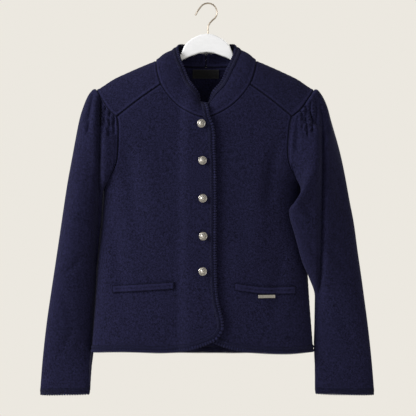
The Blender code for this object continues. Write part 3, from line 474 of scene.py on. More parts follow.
def steady(table, at):
    """Smooth curve through a table's two columns, which never swings past its rows."""
    across, value = np.array(sorted(table), float).T
    step = np.diff(across)
    slope = np.diff(value) / step
    tangent = np.zeros(len(across))
    for i in range(1, len(across) - 1):
        if slope[i - 1] * slope[i] > 0:
            first, second = 2 * step[i] + step[i - 1], step[i] + 2 * step[i - 1]
            tangent[i] = (first + second) / (first / slope[i - 1] + second / slope[i])
    tangent[0], tangent[-1] = slope[0], slope[-1]
    at = np.asarray(at, float)
    part = np.clip(np.searchsorted(across, at) - 1, 0, len(step) - 1)
    t = np.clip((at - across[part]) / step[part], -1, 2)
    return curve_between(value, tangent, step, part, t)


def smooth_curve(points, fractions):
    """Points at these fractions of the length of a smooth curve through the given ones."""
    points = np.array(points, float)
    if len(points) == 2:
        return points[0] + np.outer(fractions, points[1] - points[0])
    knots = run(points)
    step = np.diff(knots)[:, None]
    slope = np.diff(points, axis=0) / step
    tangent = np.empty_like(points)
    tangent[0], tangent[-1] = slope[0], slope[-1]
    tangent[1:-1] = (slope[:-1] * step[1:] + slope[1:] * step[:-1]) / (step[1:] + step[:-1])
    fine = np.linspace(0, knots[-1], CURVE_POINTS)
    part = np.clip(np.searchsorted(knots, fine) - 1, 0, len(step) - 1)
    t = ((fine - knots[part]) / step[part, 0])[:, None]
    dense = curve_between(points, tangent, step, part, t)
    length = run(dense)
    return columns_at(np.asarray(fractions) * length[-1], length, dense)


def turn_of(half, z):
    """The angle round the body of a place on it: 0 at the middle line, a quarter turn at the side seam."""
    share = np.clip(np.abs(half) / steady(BODY_HALF, z), 0, 1)
    return np.sign(half) * np.arcsin(share ** (BODY_SQUARENESS / 2))


def body_point(side, face, turn, z):
    """A point on the cloth's outer face, where the yokes count as front."""
    power = 2 / BODY_SQUARENESS
    half = steady(BODY_HALF, z) * np.sign(turn) * np.abs(np.sin(turn)) ** power
    below = np.clip((steady(SHOULDER, np.abs(half)) - z) / SHOULDER_DROP, 0, 1)
    depth = steady(FRONT_DEPTH if face < 0 else BACK_DEPTH, z) * np.abs(np.cos(turn)) ** power
    depth = depth * np.sqrt(1 - (1 - below) ** 2) + SEAM / 2 + relief(side, face, half, z)
    if face < 0 and side < 0:
        depth = depth + lap_lift(half)
    return np.stack([steady(MIDDLE, z) + side * half, face * depth, z], axis=-1)


def lap_lift(half):
    """How far the right front stands off where it laps over the left."""
    return LAP_LIFT * (1 - fade((half - LAP_FULL) / (LAP_NONE - LAP_FULL)))


def body_normal(side, face, turn, z):
    """The outward normal of body_point's surface, exact in the seam planes at the side and the shoulder."""
    here = body_point(side, face, turn, z)
    along = here - body_point(side, face, turn - SLOPE_STEP, z)
    down = here - body_point(side, face, turn, z - SLOPE_STEP)
    normal = unit(np.cross(along, down))
    x, y, upward = (normal[..., axis] for axis in range(3))
    outward = OUT_X * side * np.sign(turn) * x + face * y + OUT_Z * upward
    normal *= np.sign(outward)[..., None]
    in_seam_plane = (turn > math.pi / 2 - SIDE_SEAM_SLACK)[..., None] * np.array([0, 1, 0])
    return unit(normal * (1 - in_seam_plane))


def on_body(side, face, turn, z):
    """Points of the cloth's outer face, and the outward normals there."""
    return body_point(side, face, turn, z), body_normal(side, face, turn, z)


def places(table, fractions):
    """Places on the body, as (turn, z), at fractions of a curve through a table of (half, z)."""
    half, z = smooth_curve(table, fractions).T
    return np.stack([turn_of(half, z), z], axis=1)


def hem_places(table, fractions):
    """As places, spaced more closely round the side than its short table would."""
    fine = places(table, np.linspace(0, 1, HEM_POINTS))
    point = body_point(1, 1, fine[:, 0], fine[:, 1])
    pace = np.linalg.norm(np.diff(point, axis=0), axis=1) + HEM_TURN * np.abs(np.diff(fine[:, 0]))
    length = np.concatenate([[0], np.cumsum(pace)])
    return columns_at(np.asarray(fractions) * length[-1], length, fine)


def shares(points):
    """How far along a line each of its points lies, from 0 to 1."""
    length = run(points)
    return length / length[-1]


def patch(foot, top, left, right, across, up):
    """A grid of places between four edges that meet at the corners (rows go up, columns go across)."""
    u, v = across[None, :, None], up[:, None, None]
    corners = (1 - v) * ((1 - u) * foot[0] + u * foot[-1]) + v * ((1 - u) * top[0] + u * top[-1])
    return (1 - v) * foot[None] + v * top[None] + (1 - u) * left[:, None] + u * right[:, None] - corners


def armhole_places(back=False):
    """The armhole from the underarm up to the shoulder, and how many of the points lie below the yoke."""
    if back:
        return places(ARMHOLE_BACK, warped(ROWS_ARM_BACK))[::-1], 0
    yoke = places(ARMHOLE_YOKE, warped(ROWS_ARM_YOKE))
    front = places(ARMHOLE_FRONT, warped(ROWS_ARM_FRONT))
    return np.concatenate([front[::-1], yoke[::-1][1:]]), ROWS_ARM_FRONT


def side_seam(hem_z):
    z = np.linspace(hem_z, ARMHOLE_FRONT[-1][1], ROWS_SIDE + 1)
    return np.stack([np.full(len(z), math.pi / 2), z], axis=1)


def front_grid(side):
    """Places of a front: rows from the hem to the neck and yoke seams, columns from front edge to side."""
    edge, hem = (EDGE_RIGHT, HEM_RIGHT) if side < 0 else (EDGE_LEFT, HEM_LEFT)
    armhole, below_yoke = armhole_places()
    right = np.concatenate([side_seam(hem[-1][1]), armhole[1 : below_yoke + 1]])
    neck = places(NECK_FRONT, np.linspace(0, 1, COLUMNS_NECK + 1))
    top = np.concatenate([neck, places(YOKE_SEAM, warped(COLUMNS_YOKE, start=False))[1:]])
    up = shares(body_point(side, -1, right[:, 0], right[:, 1]))
    across = shares(body_point(side, -1, top[:, 0], top[:, 1]))
    return patch(hem_places(hem, across), top, places(edge[::-1], up), right, across, up)


def yoke_grid(side):
    """Places of a yoke: rows from its slanted seam up to the shoulder, columns from neck to armhole."""
    armhole, below_yoke = armhole_places()
    right = armhole[below_yoke:]
    foot = places(YOKE_SEAM, warped(COLUMNS_YOKE))
    top = shoulder_places()
    up = warped(ROWS_ARM_YOKE)
    left = places(NECK_YOKE, up)
    across = shares(body_point(side, -1, foot[:, 0], foot[:, 1]))
    return settle(patch(foot, top, left, right, across, up))


def shoulder_places():
    neck, tip = NECK_YOKE[-1][0], ARMHOLE_YOKE[0][0]
    half = neck + (tip - neck) * warped(COLUMNS_YOKE)
    z = steady(SHOULDER, half)
    return np.stack([turn_of(half, z), z], axis=1)


def settle(grid):
    """Puts a grid's top row exactly on the shoulder line."""
    turn, z = grid[-1].T
    half = steady(BODY_HALF, z) * np.abs(np.sin(turn)) ** (2 / BODY_SQUARENESS)
    on_shoulder = half > NECK_YOKE[-1][0] - 1
    grid[-1, on_shoulder, 1] = steady(SHOULDER, half[on_shoulder])
    return grid


def back_grid():
    """Places of the back: rows from the hem to the shoulders and neck, columns from right side to left."""
    armhole, _ = armhole_places(back=True)
    left_side = np.concatenate([side_seam(HEM_BACK[-1][1]), armhole[1:]])
    right_side = np.concatenate([side_seam(HEM_BACK[0][1]), armhole[1:]]) * [-1, 1]
    shoulder = shoulder_places()
    neck = places(NECK_BACK, np.linspace(0, 1, COLUMNS_BACK_NECK // 2 + 1))
    half_top = np.concatenate([shoulder[::-1], neck[1:]])
    top = np.concatenate([half_top * [-1, 1], half_top[::-1][1:]])
    up = shares(body_point(1, 1, left_side[:, 0], left_side[:, 1]))
    across = shares(body_point(1, 1, top[:, 0], top[:, 1]))
    return settle(patch(hem_places(HEM_BACK, across), top, right_side, left_side, across, up))


def panel(side, face, grid):
    """Outer points and outward normals of a body panel."""
    return on_body(side, face, grid[..., 0], grid[..., 1])


def yoke_panel(side):
    """A yoke, drawn back by a seam's gap from the front below it."""
    points, normals = panel(side, -1, yoke_grid(side))
    points[0] += DRAWN_BACK * unit(points[1] - points[0])
    return points, normals


def grid_normals(points, closed=False, flip=1):
    """Normals of a grid of points, by the directions of its rows and columns."""
    if closed:
        across = np.roll(points, -1, axis=1) - np.roll(points, 1, axis=1)
    else:
        across = np.gradient(points, axis=1)
    normal = flip * np.cross(across, np.gradient(points, axis=0))
    return normal / np.maximum(np.linalg.norm(normal, axis=-1, keepdims=True), 1e-9)


def travel(points, axis):
    """How far each point of a grid lies along its row or column, from the first one."""
    step = np.linalg.norm(np.diff(points, axis=axis), axis=-1)
    zero = np.zeros_like(step.take([0], axis=axis))
    return np.concatenate([zero, np.cumsum(step, axis=axis)], axis=axis)


def from_edges(points):
    """Distances of a grid's points from its first row, last row, first column and last column."""
    down, across = travel(points, 0), travel(points, 1)
    return down, down[-1:] - down, across, across[:, -1:] - across


def nearest_edge(points):
    foot, top, first, last = from_edges(points)
    return np.minimum(np.minimum(foot, top), np.minimum(first, last))


def puckers(along, wander):
    """Waves along a seam, between -1 and 1, of slightly uneven length."""
    strength, length = wander
    return np.sin(2 * math.pi * along / PUCKER_LONG + strength * np.sin(along / length))


def lap(distance, along):
    """Height of a lapped and topstitched seam at a distance from its edge, slightly puckered along it."""
    pucker = 1 + PUCKER * puckers(along, LAP_WANDER)
    raised = LAP_HIGH * pucker * (1 - fade((distance - LAP_WIDE) / LAP_EDGE))
    stitch = STITCH_DEEP * bell(distance, LAP_WIDE - STITCH_IN, STITCH_WIDE)
    return raised - stitch - (LAP_HIGH + CREASE_DEEP) * bell(distance, 0, CREASE_WIDE)


def dip(distance, along):
    """Height of the cloth beside a plain seam, which sinks into it and puckers a little on both sides."""
    pucker = DIP_PUCKER * puckers(along, DIP_WANDER) * bell(distance, DIP_BESIDE, DIP_BESIDE_WIDE)
    return pucker - DIP_DEEP * bell(distance, 0, DIP_WIDE)


def closed_mesh(name, points, quads, material, uv=None, values=None, sharp=None):
    """A closed piece from its points in millimetres and its faces, turned so that the faces look outwards.
    uv holds a pair for each corner of each face, and values one number for each point."""
    a, b, c, d = (points[quads[:, i]] for i in range(4))
    volume = np.einsum("ij,ij->i", a, np.cross(b, c)).sum() + np.einsum("ij,ij->i", a, np.cross(c, d)).sum()
    if volume < 0:
        quads = quads[:, ::-1]
        uv = None if uv is None else uv[:, ::-1]
    mesh = bpy.data.meshes.new(name)
    mesh.from_pydata((points * MM).tolist(), [], quads.tolist())
    if uv is not None:
        mesh.uv_layers.new(name="cloth").data.foreach_set("uv", uv.astype(np.float32).ravel())
    for title, numbers in (values or {}).items():
        layer = mesh.attributes.new(title, "FLOAT", "POINT")
        layer.data.foreach_set("value", np.asarray(numbers, np.float32).ravel())
    mesh.materials.append(material)
    mesh.shade_smooth()
    if sharp:
        mesh.set_sharp_from_angle(angle=math.radians(sharp))
    mesh.validate()
    obj = bpy.data.objects.new(name, mesh)
    bpy.context.scene.collection.objects.link(obj)
    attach(obj, BODY)
    return obj


def faces_of(ids, uv):
    """The faces of a grid of points, by their corners in turn, and the place in the cloth of each corner."""
    corners = ((slice(None, -1), slice(None, -1)), (slice(None, -1), slice(1, None)),
               (slice(1, None), slice(1, None)), (slice(1, None), slice(None, -1)))
    quads = np.stack([ids[corner] for corner in corners], axis=-1).reshape(-1, 4)
    return quads, np.stack([uv[corner] for corner in corners], axis=2).reshape(-1, 4, 2)


def shell(name, outer, inner, material, closed=False, values=None):
    """Cloth between two grids of points, its outer and its inner face, closed round its rims."""
    rows, columns = outer.shape[:2]
    at = np.arange(rows * columns).reshape(rows, columns)
    along, across = travel(outer, 0), travel(outer, 1)
    if closed:
        at = np.concatenate([at, at[:, :1]], axis=1)
        last = across[:, -1:] + np.linalg.norm(outer[:, :1] - outer[:, -1:], axis=-1)
        along, across = np.concatenate([along, along[:, :1]], axis=1), np.concatenate([across, last], axis=1)
    place = np.stack([across, along], axis=-1) * MM
    face, face_uv = faces_of(at, place)
    count = rows * columns
    borders = [(at[0], place[0]), (at[-1, ::-1], place[-1, ::-1])]
    if not closed:
        borders += [(at[::-1, 0], place[::-1, 0]), (at[:, -1], place[:, -1])]
    quads, uvs = [face, face[:, ::-1] + count], [face_uv, face_uv[:, ::-1]]
    for line, line_uv in borders:
        a, b = line[:-1], line[1:]
        quads.append(np.stack([b, a, a + count, b + count], axis=-1))
        uvs.append(np.stack([line_uv[1:], line_uv[:-1], line_uv[:-1], line_uv[1:]], axis=1))
    points = np.concatenate([outer.reshape(-1, 3), inner.reshape(-1, 3)])
    both = {title: np.concatenate([np.ravel(grid)] * 2) for title, grid in (values or {}).items()}
    quads, uvs = np.concatenate(quads), np.concatenate(uvs)
    return closed_mesh(name, points, quads, material, uvs, both, sharp=SHARP)


def sewn(name, points, normals, laps=(), dips=(), closed=False):
    """A piece of cloth whose seams are worked into its outer face. laps and dips are pairs of distances: from
    the seam, and along it. Where a third is given, it says how strongly the seam shows there."""
    move = np.zeros(points.shape[:2])
    near = np.full(points.shape[:2], FAR)
    for height, seams in ((lap, laps), (dip, dips)):
        for distance, along, *share in seams:
            move += height(distance, along) * (share[0] if share else 1)
            near = np.minimum(near, distance)
    outer, inner = points + move[..., None] * normals, points - CLOTH * normals
    return shell(name, outer, inner, finish("wool"), closed=closed, values={"seam": near * MM})


def collar_grid(side):
    """A collar half: rows from the neck seam to the upper edge, columns from front end to centre back."""
    front, yoke, back = front_grid(side), yoke_grid(side), back_grid()
    back_neck = back.shape[1] // 2 + side * np.arange(COLUMNS_BACK_NECK // 2, -1, -1)
    neck, neck_normal = [], []
    for panel_side, face, grid, edge in (
        (side, -1, front, (-1, slice(0, COLUMNS_NECK + 1))),
        (side, -1, yoke, (slice(1, -1), 0)),
        (1, 1, back, (-1, back_neck)),
    ):
        points, normals = panel(panel_side, face, grid)
        neck.append(points[edge])
        neck_normal.append(normals[edge])
    neck, neck_normal = np.concatenate(neck), np.concatenate(neck_normal)
    half, z, y = smooth_curve(COLLAR_TOP, shares(neck)).T
    if side < 0:
        y = y - lap_lift(half) * (z < NECK_YOKE[-1][1])
    top = np.stack([steady(MIDDLE, z) + side * half, y, z], axis=1)
    neck[-1, 0] += side * SEAM / 2
    top[-1, 0] = neck[-1, 0]
    neck = neck + DRAWN_BACK * unit(top - neck)
    up = np.linspace(0, 1, ROWS_COLLAR + 1)[:, None, None]
    grid = neck * (1 - up) + top * up
    normals = grid_normals(grid, flip=side)
    grid = grid + COLLAR_SWELL * np.sin(math.pi * up) * normals
    normals = grid_normals(grid, flip=side)
    grid[:, -1, 0] = neck[-1, 0]
    normals[0] = neck_normal
    normals[:, [0, -1], 0] = 0
    return grid, unit(normals)


def edge_path(side):
    """The edge that the edging follows on one side: collar from the centre back, front edge, hem to side."""
    collar, collar_normal = collar_grid(side)
    front, front_normal = panel(side, -1, front_grid(side))
    pieces = (
        (collar[-1, ::-1], collar_normal[-1, ::-1]),
        (collar[:-1, 0][::-1], collar_normal[:-1, 0][::-1]),
        (front[:-1, 0][::-1], front_normal[:-1, 0][::-1]),
        (front[0, 1:], front_normal[0, 1:]),
    )
    return tuple(np.concatenate(parts) for parts in zip(*pieces))


def armhole_ring(side):
    """The armhole's outer edge, in the order shoulder, front, underarm, back, each point's angle round the
    sleeve, and the normal that a sleeve's first ring takes there: the body's, but for the underarm."""
    armhole, _ = armhole_places()
    behind, _ = armhole_places(back=True)
    front = body_point(side, -1, armhole[::-1, 0], armhole[::-1, 1])
    if side < 0:
        front[:, 1] += lap_lift(np.abs(front[:, 0] - steady(MIDDLE, front[:, 2])))
    back = body_point(side, 1, behind[1:-1, 0], behind[1:-1, 1])
    front[[0, -1], 1] = 0
    ring = np.concatenate([front, back])
    behind_too = np.concatenate([front[-1:], back, front[:1]])
    angle = math.pi * np.concatenate([shares(front), 1 + shares(behind_too)[1:-1]])
    flat = np.stack([side * ring[:, 0], ring[:, 2]], axis=1)
    along = np.roll(flat, -1, axis=0) - np.roll(flat, 1, axis=0)
    away = np.stack([-along[:, 1], along[:, 0]], axis=1)
    away[len(front) :] *= -1
    away = unit(away)
    away[0], away[len(front) - 1] = (1, 0), UNDERARM_AWAY
    away[:, 0] = np.abs(away[:, 0])
    top, under = np.clip(np.cos(angle), 0, 1), np.clip(-np.cos(angle), 0, 1)
    gap = DRAWN_BACK + UNDERARM_EASE * under**4
    ring[:, 0] += side * gap * away[:, 0]
    ring[:, 2] += gap * away[:, 1]
    body = np.concatenate([
        body_normal(side, -1, armhole[::-1, 0], armhole[::-1, 1]),
        body_normal(side, 1, behind[1:-1, 0], behind[1:-1, 1]),
    ])
    own = np.stack([UNDERARM_X * side * under, -np.sin(angle), top - UNDERARM_Z * under], axis=1)
    share = fade((under - UNDERARM_FROM) / UNDERARM_OVER)[:, None]
    return ring, angle, unit((1 - share) * body + share * own)


def section(row, side, angle):
    """One cross-section of a sleeve, before its folds."""
    end = dict(zip(SLEEVE_COLUMNS, row))
    waves = (np.cos(angle), np.sin(angle))
    across, stand = (np.sign(wave) * np.abs(wave) ** (2 / SLEEVE_ROUNDNESS) for wave in waves)
    mix = (1 + across) / 2
    x, y, z = (end[f"inner_{axis}"] + (end[f"outer_{axis}"] - end[f"inner_{axis}"]) * mix for axis in "xyz")
    y = y - np.where(stand > 0, end["front"], end["back"]) * stand
    return np.stack([side * x, y, z], axis=1)


def groove(point, side, angle, table, soft=False):
    """How deep the folds cut into the sleeve at each point, along Y and towards its inside. Soft ones add up,
    and of the others the deepest counts."""
    cut_in = {face: np.zeros(len(point)) for face in (-1, 1)}
    for row in table:
        fold = dict(zip(GATHER_COLUMNS, row))
        down = (fold["head_z"] - point[:, 2]) / (fold["head_z"] - fold["foot_z"])
        line = fold["head_x"] + (fold["foot_x"] - fold["head_x"]) * down
        if soft:
            ends = fade(down / SLACK_ENDS) * fade((1 - down) / SLACK_ENDS)
        else:
            ends = fade((down + GATHER_ENDS) / GATHER_ENDS) * fade((1 + GATHER_ENDS - down) / GATHER_ENDS)
        beside = bell(side * point[:, 0], line, fold["width"])
        face = fold["face"]
        deep = fold["depth"] * ends * beside * np.clip(-face * np.sin(angle), 0, FACE_ON) / FACE_ON
        cut_in[face] = cut_in[face] + deep if soft else np.maximum(cut_in[face], deep)
    return cut_in[-1] - cut_in[1]


def keep_clear(point, side):
    """Moves what would lie inside the body out to just clear of it, below the armhole."""
    z = point[:, 2]
    half = side * (point[:, 0] - steady(MIDDLE, z))
    wide = steady(BODY_HALF, np.minimum(z, ARMHOLE_FRONT[-1][1])) + SLEEVE_CLEAR
    deep = steady(FRONT_DEPTH, z) + SLEEVE_CLEAR
    power = BODY_SQUARENESS
    reach = (np.abs(half / wide) ** power + np.abs(point[:, 1] / deep) ** power) ** (1 / power)
    inside = (reach < 1) & (z < ARMHOLE_FRONT[-2][1] - CLEAR_BELOW)
    grow = np.where(inside, 1 / np.maximum(reach, LEAST_REACH), 1)
    point[:, 0] += side * half * (grow - 1)
    point[:, 1] *= grow
    return point


def sleeve_rows(table):
    """The sleeve's table with rows put in between, about a step apart on the cloth."""
    table = np.array(table, float)
    index = np.arange(len(table))
    places_z = table[:, SLEEVE_COLUMNS.index("outer_z")] + table[:, SLEEVE_COLUMNS.index("inner_z")]
    fine = [0.0]
    for i in index[1:]:
        gap = np.hypot(np.diff(places_z[i - 1 : i + 1])[0] / 2, np.diff(table[i - 1 : i + 1, 0])[0])
        steps = max(CAP_STEPS if i == 1 else LEAST_STEPS, int(round(gap / SLEEVE_STEP)))
        fine += list(i - 1 + np.arange(1, steps + 1) / steps)
    return np.stack([steady(list(zip(index, column)), fine) for column in table.T], axis=1)


def sleeve_grid(side):
    """Rings of a sleeve from the armhole down to the edging of the cuff, and its outer face's normals."""
    right, left = (SLEEVE_RIGHT, GATHERS_RIGHT, SLACK_RIGHT), (SLEEVE_LEFT, GATHERS_LEFT, SLACK_LEFT)
    table, gathers, slack = right if side < 0 else left
    ring, angle, first = armhole_ring(side)
    scooped = ring - section(table[0], side, angle)
    rings = [ring]
    for i, row in enumerate(sleeve_rows(table)[1:], start=1):
        scoop = row[SLEEVE_COLUMNS.index("scoop")]
        point = section(row, side, angle) + scoop * scooped
        share = min(1, (1 - scoop) / SCOOP_FADE)
        straight = point.copy()
        point[:, 1] += share * groove(straight, side, angle, gathers)
        point[:, 1] += min(1, i / CAP_ROWS) * groove(straight, side, angle, CAP_GATHERS)
        point[:, 1] += share * groove(straight, side, angle, slack, soft=True)
        rings.append(keep_clear(point, side))
    rings = np.stack(rings)
    normals = grid_normals(rings, closed=True, flip=-side)
    for i in range(SLEEVE_TURN):
        share = fade(1 - i / SLEEVE_TURN)
        normals[i] = unit(share * first + (1 - share) * normals[i])
    return rings, normals


def resampled(line, step, closed=False):
    """Points a step apart along a line of rows, by the length of its first three columns."""
    if closed:
        line = np.concatenate([line, line[:1]])
    length = run(line[:, :3])
    at = np.linspace(0, length[-1], int(round(length[-1] / step)) + 1)
    fine = columns_at(at, length, line)
    return (fine[:-1], at[:-1], length[-1]) if closed else (fine, at, length[-1])


def softened(rows, reach, closed):
    """A line's rows, averaged over a few neighbours each way."""
    edge = "wrap" if closed else "edge"
    padded = np.pad(rows, ((reach, reach), (0, 0)), mode=edge)
    weights = np.hanning(2 * reach + 3)[1:-1]
    weights /= weights.sum()
    return np.stack([np.convolve(column, weights, mode="valid") for column in padded.T], axis=1)


def braid_section(lobe, ripple):
    """The edging's section at one place, as (distance out from the cloth, height above it), going out over
    the top and back underneath. lobe is 1 in the middle of a shell and 0 between two."""
    across = np.linspace(0, 1, BAND_POINTS)
    band = BAND_FROM + (BAND_WIDE - BAND_FROM) * across
    arch = np.sin(math.pi * np.clip(across, BAND_CUT, 1 - BAND_CUT)) ** BAND_BLUNT
    band_top = BAND_RIM + BAND_HIGH * arch + ripple
    out = np.linspace(0, 1, SHELL_POINTS)
    reach = SHELL_WIDE * (SHELL_LEAST + (1 - SHELL_LEAST) * lobe)
    shell_out = BAND_WIDE + GROOVE_WIDE + reach * np.sin(out * math.pi / 2)
    swell = np.sqrt(np.clip(1 - out**2, 0, 1))
    rise = np.maximum(swell, SHELL_BLUNT) * np.minimum(1, SHELL_RISE_FROM + SHELL_RISE * out)
    shell_top = SHELL_RIM + (SHELL_LOW + SHELL_HIGH * lobe) * rise
    top = np.concatenate([np.stack([band, band_top], 1), np.stack([shell_out, shell_top], 1)])
    under = np.concatenate([np.full(BAND_POINTS, BRAID_UNDER), SHELL_UNDER + SHELL_SWELL * swell])
    return np.concatenate([top, np.stack([top[:, 0], -under], 1)[::-1]])


def make_edging(node, edge, normal, side, closed=False, start=None):
    """Crocheted edging along a cloth's edge: a firm band, a groove, and a row of small shells beyond it.
    start is the direction in which it sets out, where that isn't left to the edge."""
    name = f"{node}_braid"
    line, at, length = resampled(np.concatenate([edge, normal], axis=1), BRAID_STEP, closed)
    line = softened(line, BRAID_SOFT, closed)
    points, normals = line[:, :3], line[:, 3:]
    if closed:
        along = np.roll(points, -1, axis=0) - np.roll(points, 1, axis=0)
    else:
        points[[0, -1]] = edge[[0, -1]]
        along = np.gradient(points, axis=0)
    if start is not None:
        along[:START_ROWS] = start
    along = unit(softened(along, BRAID_TURN, closed))
    out = unit(side * np.cross(along, normals))
    lift = np.cross(along, out)
    lift *= np.sign(np.einsum("ij,ij->i", lift, normals))[:, None]
    pitch = length / max(1, round(length / (cloth_settings().shell_pitch / MM)))
    phase = (at / pitch) % 1.0 - 0.5
    lobe = np.sqrt(np.clip(1 - (phase / 0.5) ** 2, 0, 1))
    wander = 1 + sum(strength * np.sin(at / span) for strength, span in SHELL_WANDER)
    ripple = BAND_RIPPLE * np.sin(2 * math.pi * at / (pitch / 2))
    rings = np.stack([braid_section(a * b, c) for a, b, c in zip(lobe, wander, ripple)])
    solid = points[:, None] + rings[..., :1] * out[:, None] + rings[..., 1:] * lift[:, None]
    count, around = solid.shape[:2]
    ids = np.arange(count * around).reshape(count, around)
    uv = np.stack([np.repeat(at[:, None], around, axis=1), rings[..., 0]], axis=-1) * MM
    if closed:
        ids = np.concatenate([ids, ids[:1]])
        uv = np.concatenate([uv, uv[:1] + [length * MM, 0]])
    ids = np.concatenate([ids, ids[:, :1]], axis=1)
    uv = np.concatenate([uv, uv[:, :1]], axis=1)
    quads, uvs = ([whole] for whole in faces_of(ids, uv))
    if not closed:
        i = np.arange(around // 2 - 1)
        for ring, turned in ((0, False), (-1, True)):
            cap = np.stack([i, around - 1 - i, around - 2 - i, i + 1], axis=1)
            cap = cap[:, ::-1] if turned else cap
            quads.append(ids[ring][cap])
            uvs.append(uv[ring][cap])
    height = rings[..., 1] - rings[..., 1].min()
    knots = 0.5 + 0.5 * np.sin(4 * math.pi * at / pitch)[:, None] * np.cos(rings[..., 0] * KNOT_ACROSS)
    # height and stitch feed the yarn's painted highlight on its higher parts and painted shade between its
    # stitches
    values = {
        "height": height / (BAND_HIGH + BRAID_UNDER + SHELL_HIGH),
        "stitch": np.where(rings[..., 0] > BAND_WIDE, lobe[:, None] ** 2, knots),
    }
    quads, uvs = np.concatenate(quads), np.concatenate(uvs)
    piece = closed_mesh(name, solid.reshape(-1, 3), quads, finish("braid"), uvs, values)
    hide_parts(node)


def welt_grid(side):
    """A pocket welt's outer points: a strip made from the front's own points, moved out."""
    table = WELT_RIGHT if side < 0 else WELT_LEFT
    across, up = warped(WELT_COLUMNS, WELT_WARP), warped(WELT_ROWS, WELT_WARP)[:, None, None]
    top, foot = (smooth_curve(table[edge], across) for edge in ("top", "foot"))
    half_z = foot * (1 - up) + top * up
    half, z = half_z[..., 0], half_z[..., 1]
    return on_body(side, -1, turn_of(half, z), z)


def make_welt(side, word):
    """A pocket welt with rounded edges, stitched to the front along its foot and both ends."""
    points, normals = welt_grid(side)
    foot, _, first, last = from_edges(points)
    edge = nearest_edge(points)
    puff = WELT_PUFF * np.sqrt(np.clip(edge / WELT_ROUND, 0, 1))
    along_foot = WELT_STITCH * bell(foot, WELT_STITCH_IN, WELT_STITCH_WIDE)
    at_ends = WELT_END_STITCH * bell(np.minimum(first, last), WELT_STITCH_IN, WELT_STITCH_WIDE)
    waves = np.sin(2 * math.pi * first / WELT_PUCKER_LONG + np.sin(first / WELT_PUCKER_WANDER))
    pucker = WELT_PUCKER * waves * bell(foot, WELT_PUCKER_IN, WELT_PUCKER_WIDE)
    outer = points + (WELT_GAP + WELT_THICK + puff - along_foot - at_ends + pucker)[..., None] * normals
    inner = points + WELT_GAP * normals
    welt = shell(f"pocket_welt_{word}_cloth", outer, inner, finish("wool"), values={"seam": edge * MM})
    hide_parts(f"pocket_welt_{word}")


def make_label():
    """A bare woven label with a raised border, on the inside of the back just below the neck seam."""
    columns = np.linspace(-LABEL_HALF, LABEL_HALF, LABEL_COLUMNS)
    half, z = np.meshgrid(columns, np.linspace(LABEL_FOOT, LABEL_TOP, LABEL_ROWS))
    points, normals = on_body(1, 1, turn_of(half, z), z)
    edge = nearest_edge(points)
    border = BORDER_HIGH * bell(edge, BORDER_IN, BORDER_WIDE)
    gap = CLOTH + LABEL_GAP
    outer = points - gap * normals
    inner = points - (gap + LABEL_THICK + border)[..., None] * normals
    tape = finish("label_cloth")
    label = shell("neck_label_cloth", outer, inner, tape, values={"edge": edge * MM})
    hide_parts("neck_label")


def alone(obj):
    """Makes an object the only selected one."""
    bpy.ops.object.select_all(action="DESELECT")
    obj.select_set(True)
    bpy.context.view_layer.objects.active = obj


def select_front_faces():
    """In edit mode, selects the faces of the active mesh that face straight to the front."""
    shape = bmesh.from_edit_mesh(bpy.context.object.data)
    bpy.context.tool_settings.mesh_select_mode = (False, False, True)
    for part in (*shape.verts, *shape.edges, *shape.faces):
        part.select_set(False)
    for face in shape.faces:
        face.select_set(face.normal.y < FACES_FRONT)
    shape.select_flush_mode()
    bmesh.update_edit_mesh(bpy.context.object.data)


def set_wear(obj, worn):
    """Stores how worn the metal is at each point."""
    layer = obj.data.attributes.new("worn", "FLOAT", "POINT")
    layer.data.foreach_set("value", worn.astype(np.float32))


def turned_button():
    """A domed metal button, extruded ring by ring from the end of its shank and facing up."""
    radius, height = BUTTON_STEPS[0][:2]
    bpy.ops.object.select_all(action="DESELECT")
    bpy.ops.mesh.primitive_circle_add(
        vertices=BUTTON_SIDES, radius=radius * MM, fill_type="NGON", location=(0, 0, height * MM)
    )
    button = bpy.context.object
    button.name = "button_form"
    bpy.ops.object.mode_set(mode="EDIT")
    bpy.ops.mesh.select_all(action="SELECT")
    for next_radius, next_height, _ in BUTTON_STEPS[1:]:
        rise = (next_height - height) * MM
        bpy.ops.mesh.extrude_region_move(TRANSFORM_OT_translate={"value": (0, 0, rise)})
        share = next_radius / radius
        bpy.ops.transform.resize(value=(share, share, 1), center_override=(0, 0, 0))
        radius, height = next_radius, next_height
    bpy.ops.mesh.poke()
    bpy.ops.mesh.select_all(action="SELECT")
    bpy.ops.mesh.normals_make_consistent(inside=False)
    bpy.ops.object.mode_set(mode="OBJECT")
    spots = np.zeros(len(button.data.vertices) * 3)
    button.data.vertices.foreach_get("co", spots)
    spots = spots.reshape(-1, 3) / MM
    radii, turns = np.hypot(spots[:, 0], spots[:, 1]), np.arctan2(spots[:, 1], spots[:, 0])
    for count, ring, high, wide in (
        (BEADS, BEAD_RING, BEAD_HIGH, BEAD_WIDE),
        (PETALS, PETAL_RING, PETAL_HIGH, PETAL_WIDE),
    ):
        spots[:, 2] += high * (bell(radii, ring, wide) * (spots[:, 2] > FACE_HEIGHT)) * np.cos(count * turns)
    button.data.vertices.foreach_set("co", (spots * MM).ravel())
    face_radii, face_wear = zip(*sorted({(r, worn) for r, z, worn in BUTTON_STEPS if z > RIM_HEIGHT}))
    set_wear(button, np.interp(radii, face_radii, face_wear))
    finer = button.modifiers.new("finer", "SUBSURF")
    finer.levels = finer.render_levels = 1
    alone(button)
    bpy.ops.object.modifier_apply(modifier=finer.name)
    bpy.ops.object.shade_smooth_by_angle(angle=math.radians(BUTTON_SHARP))
    return button


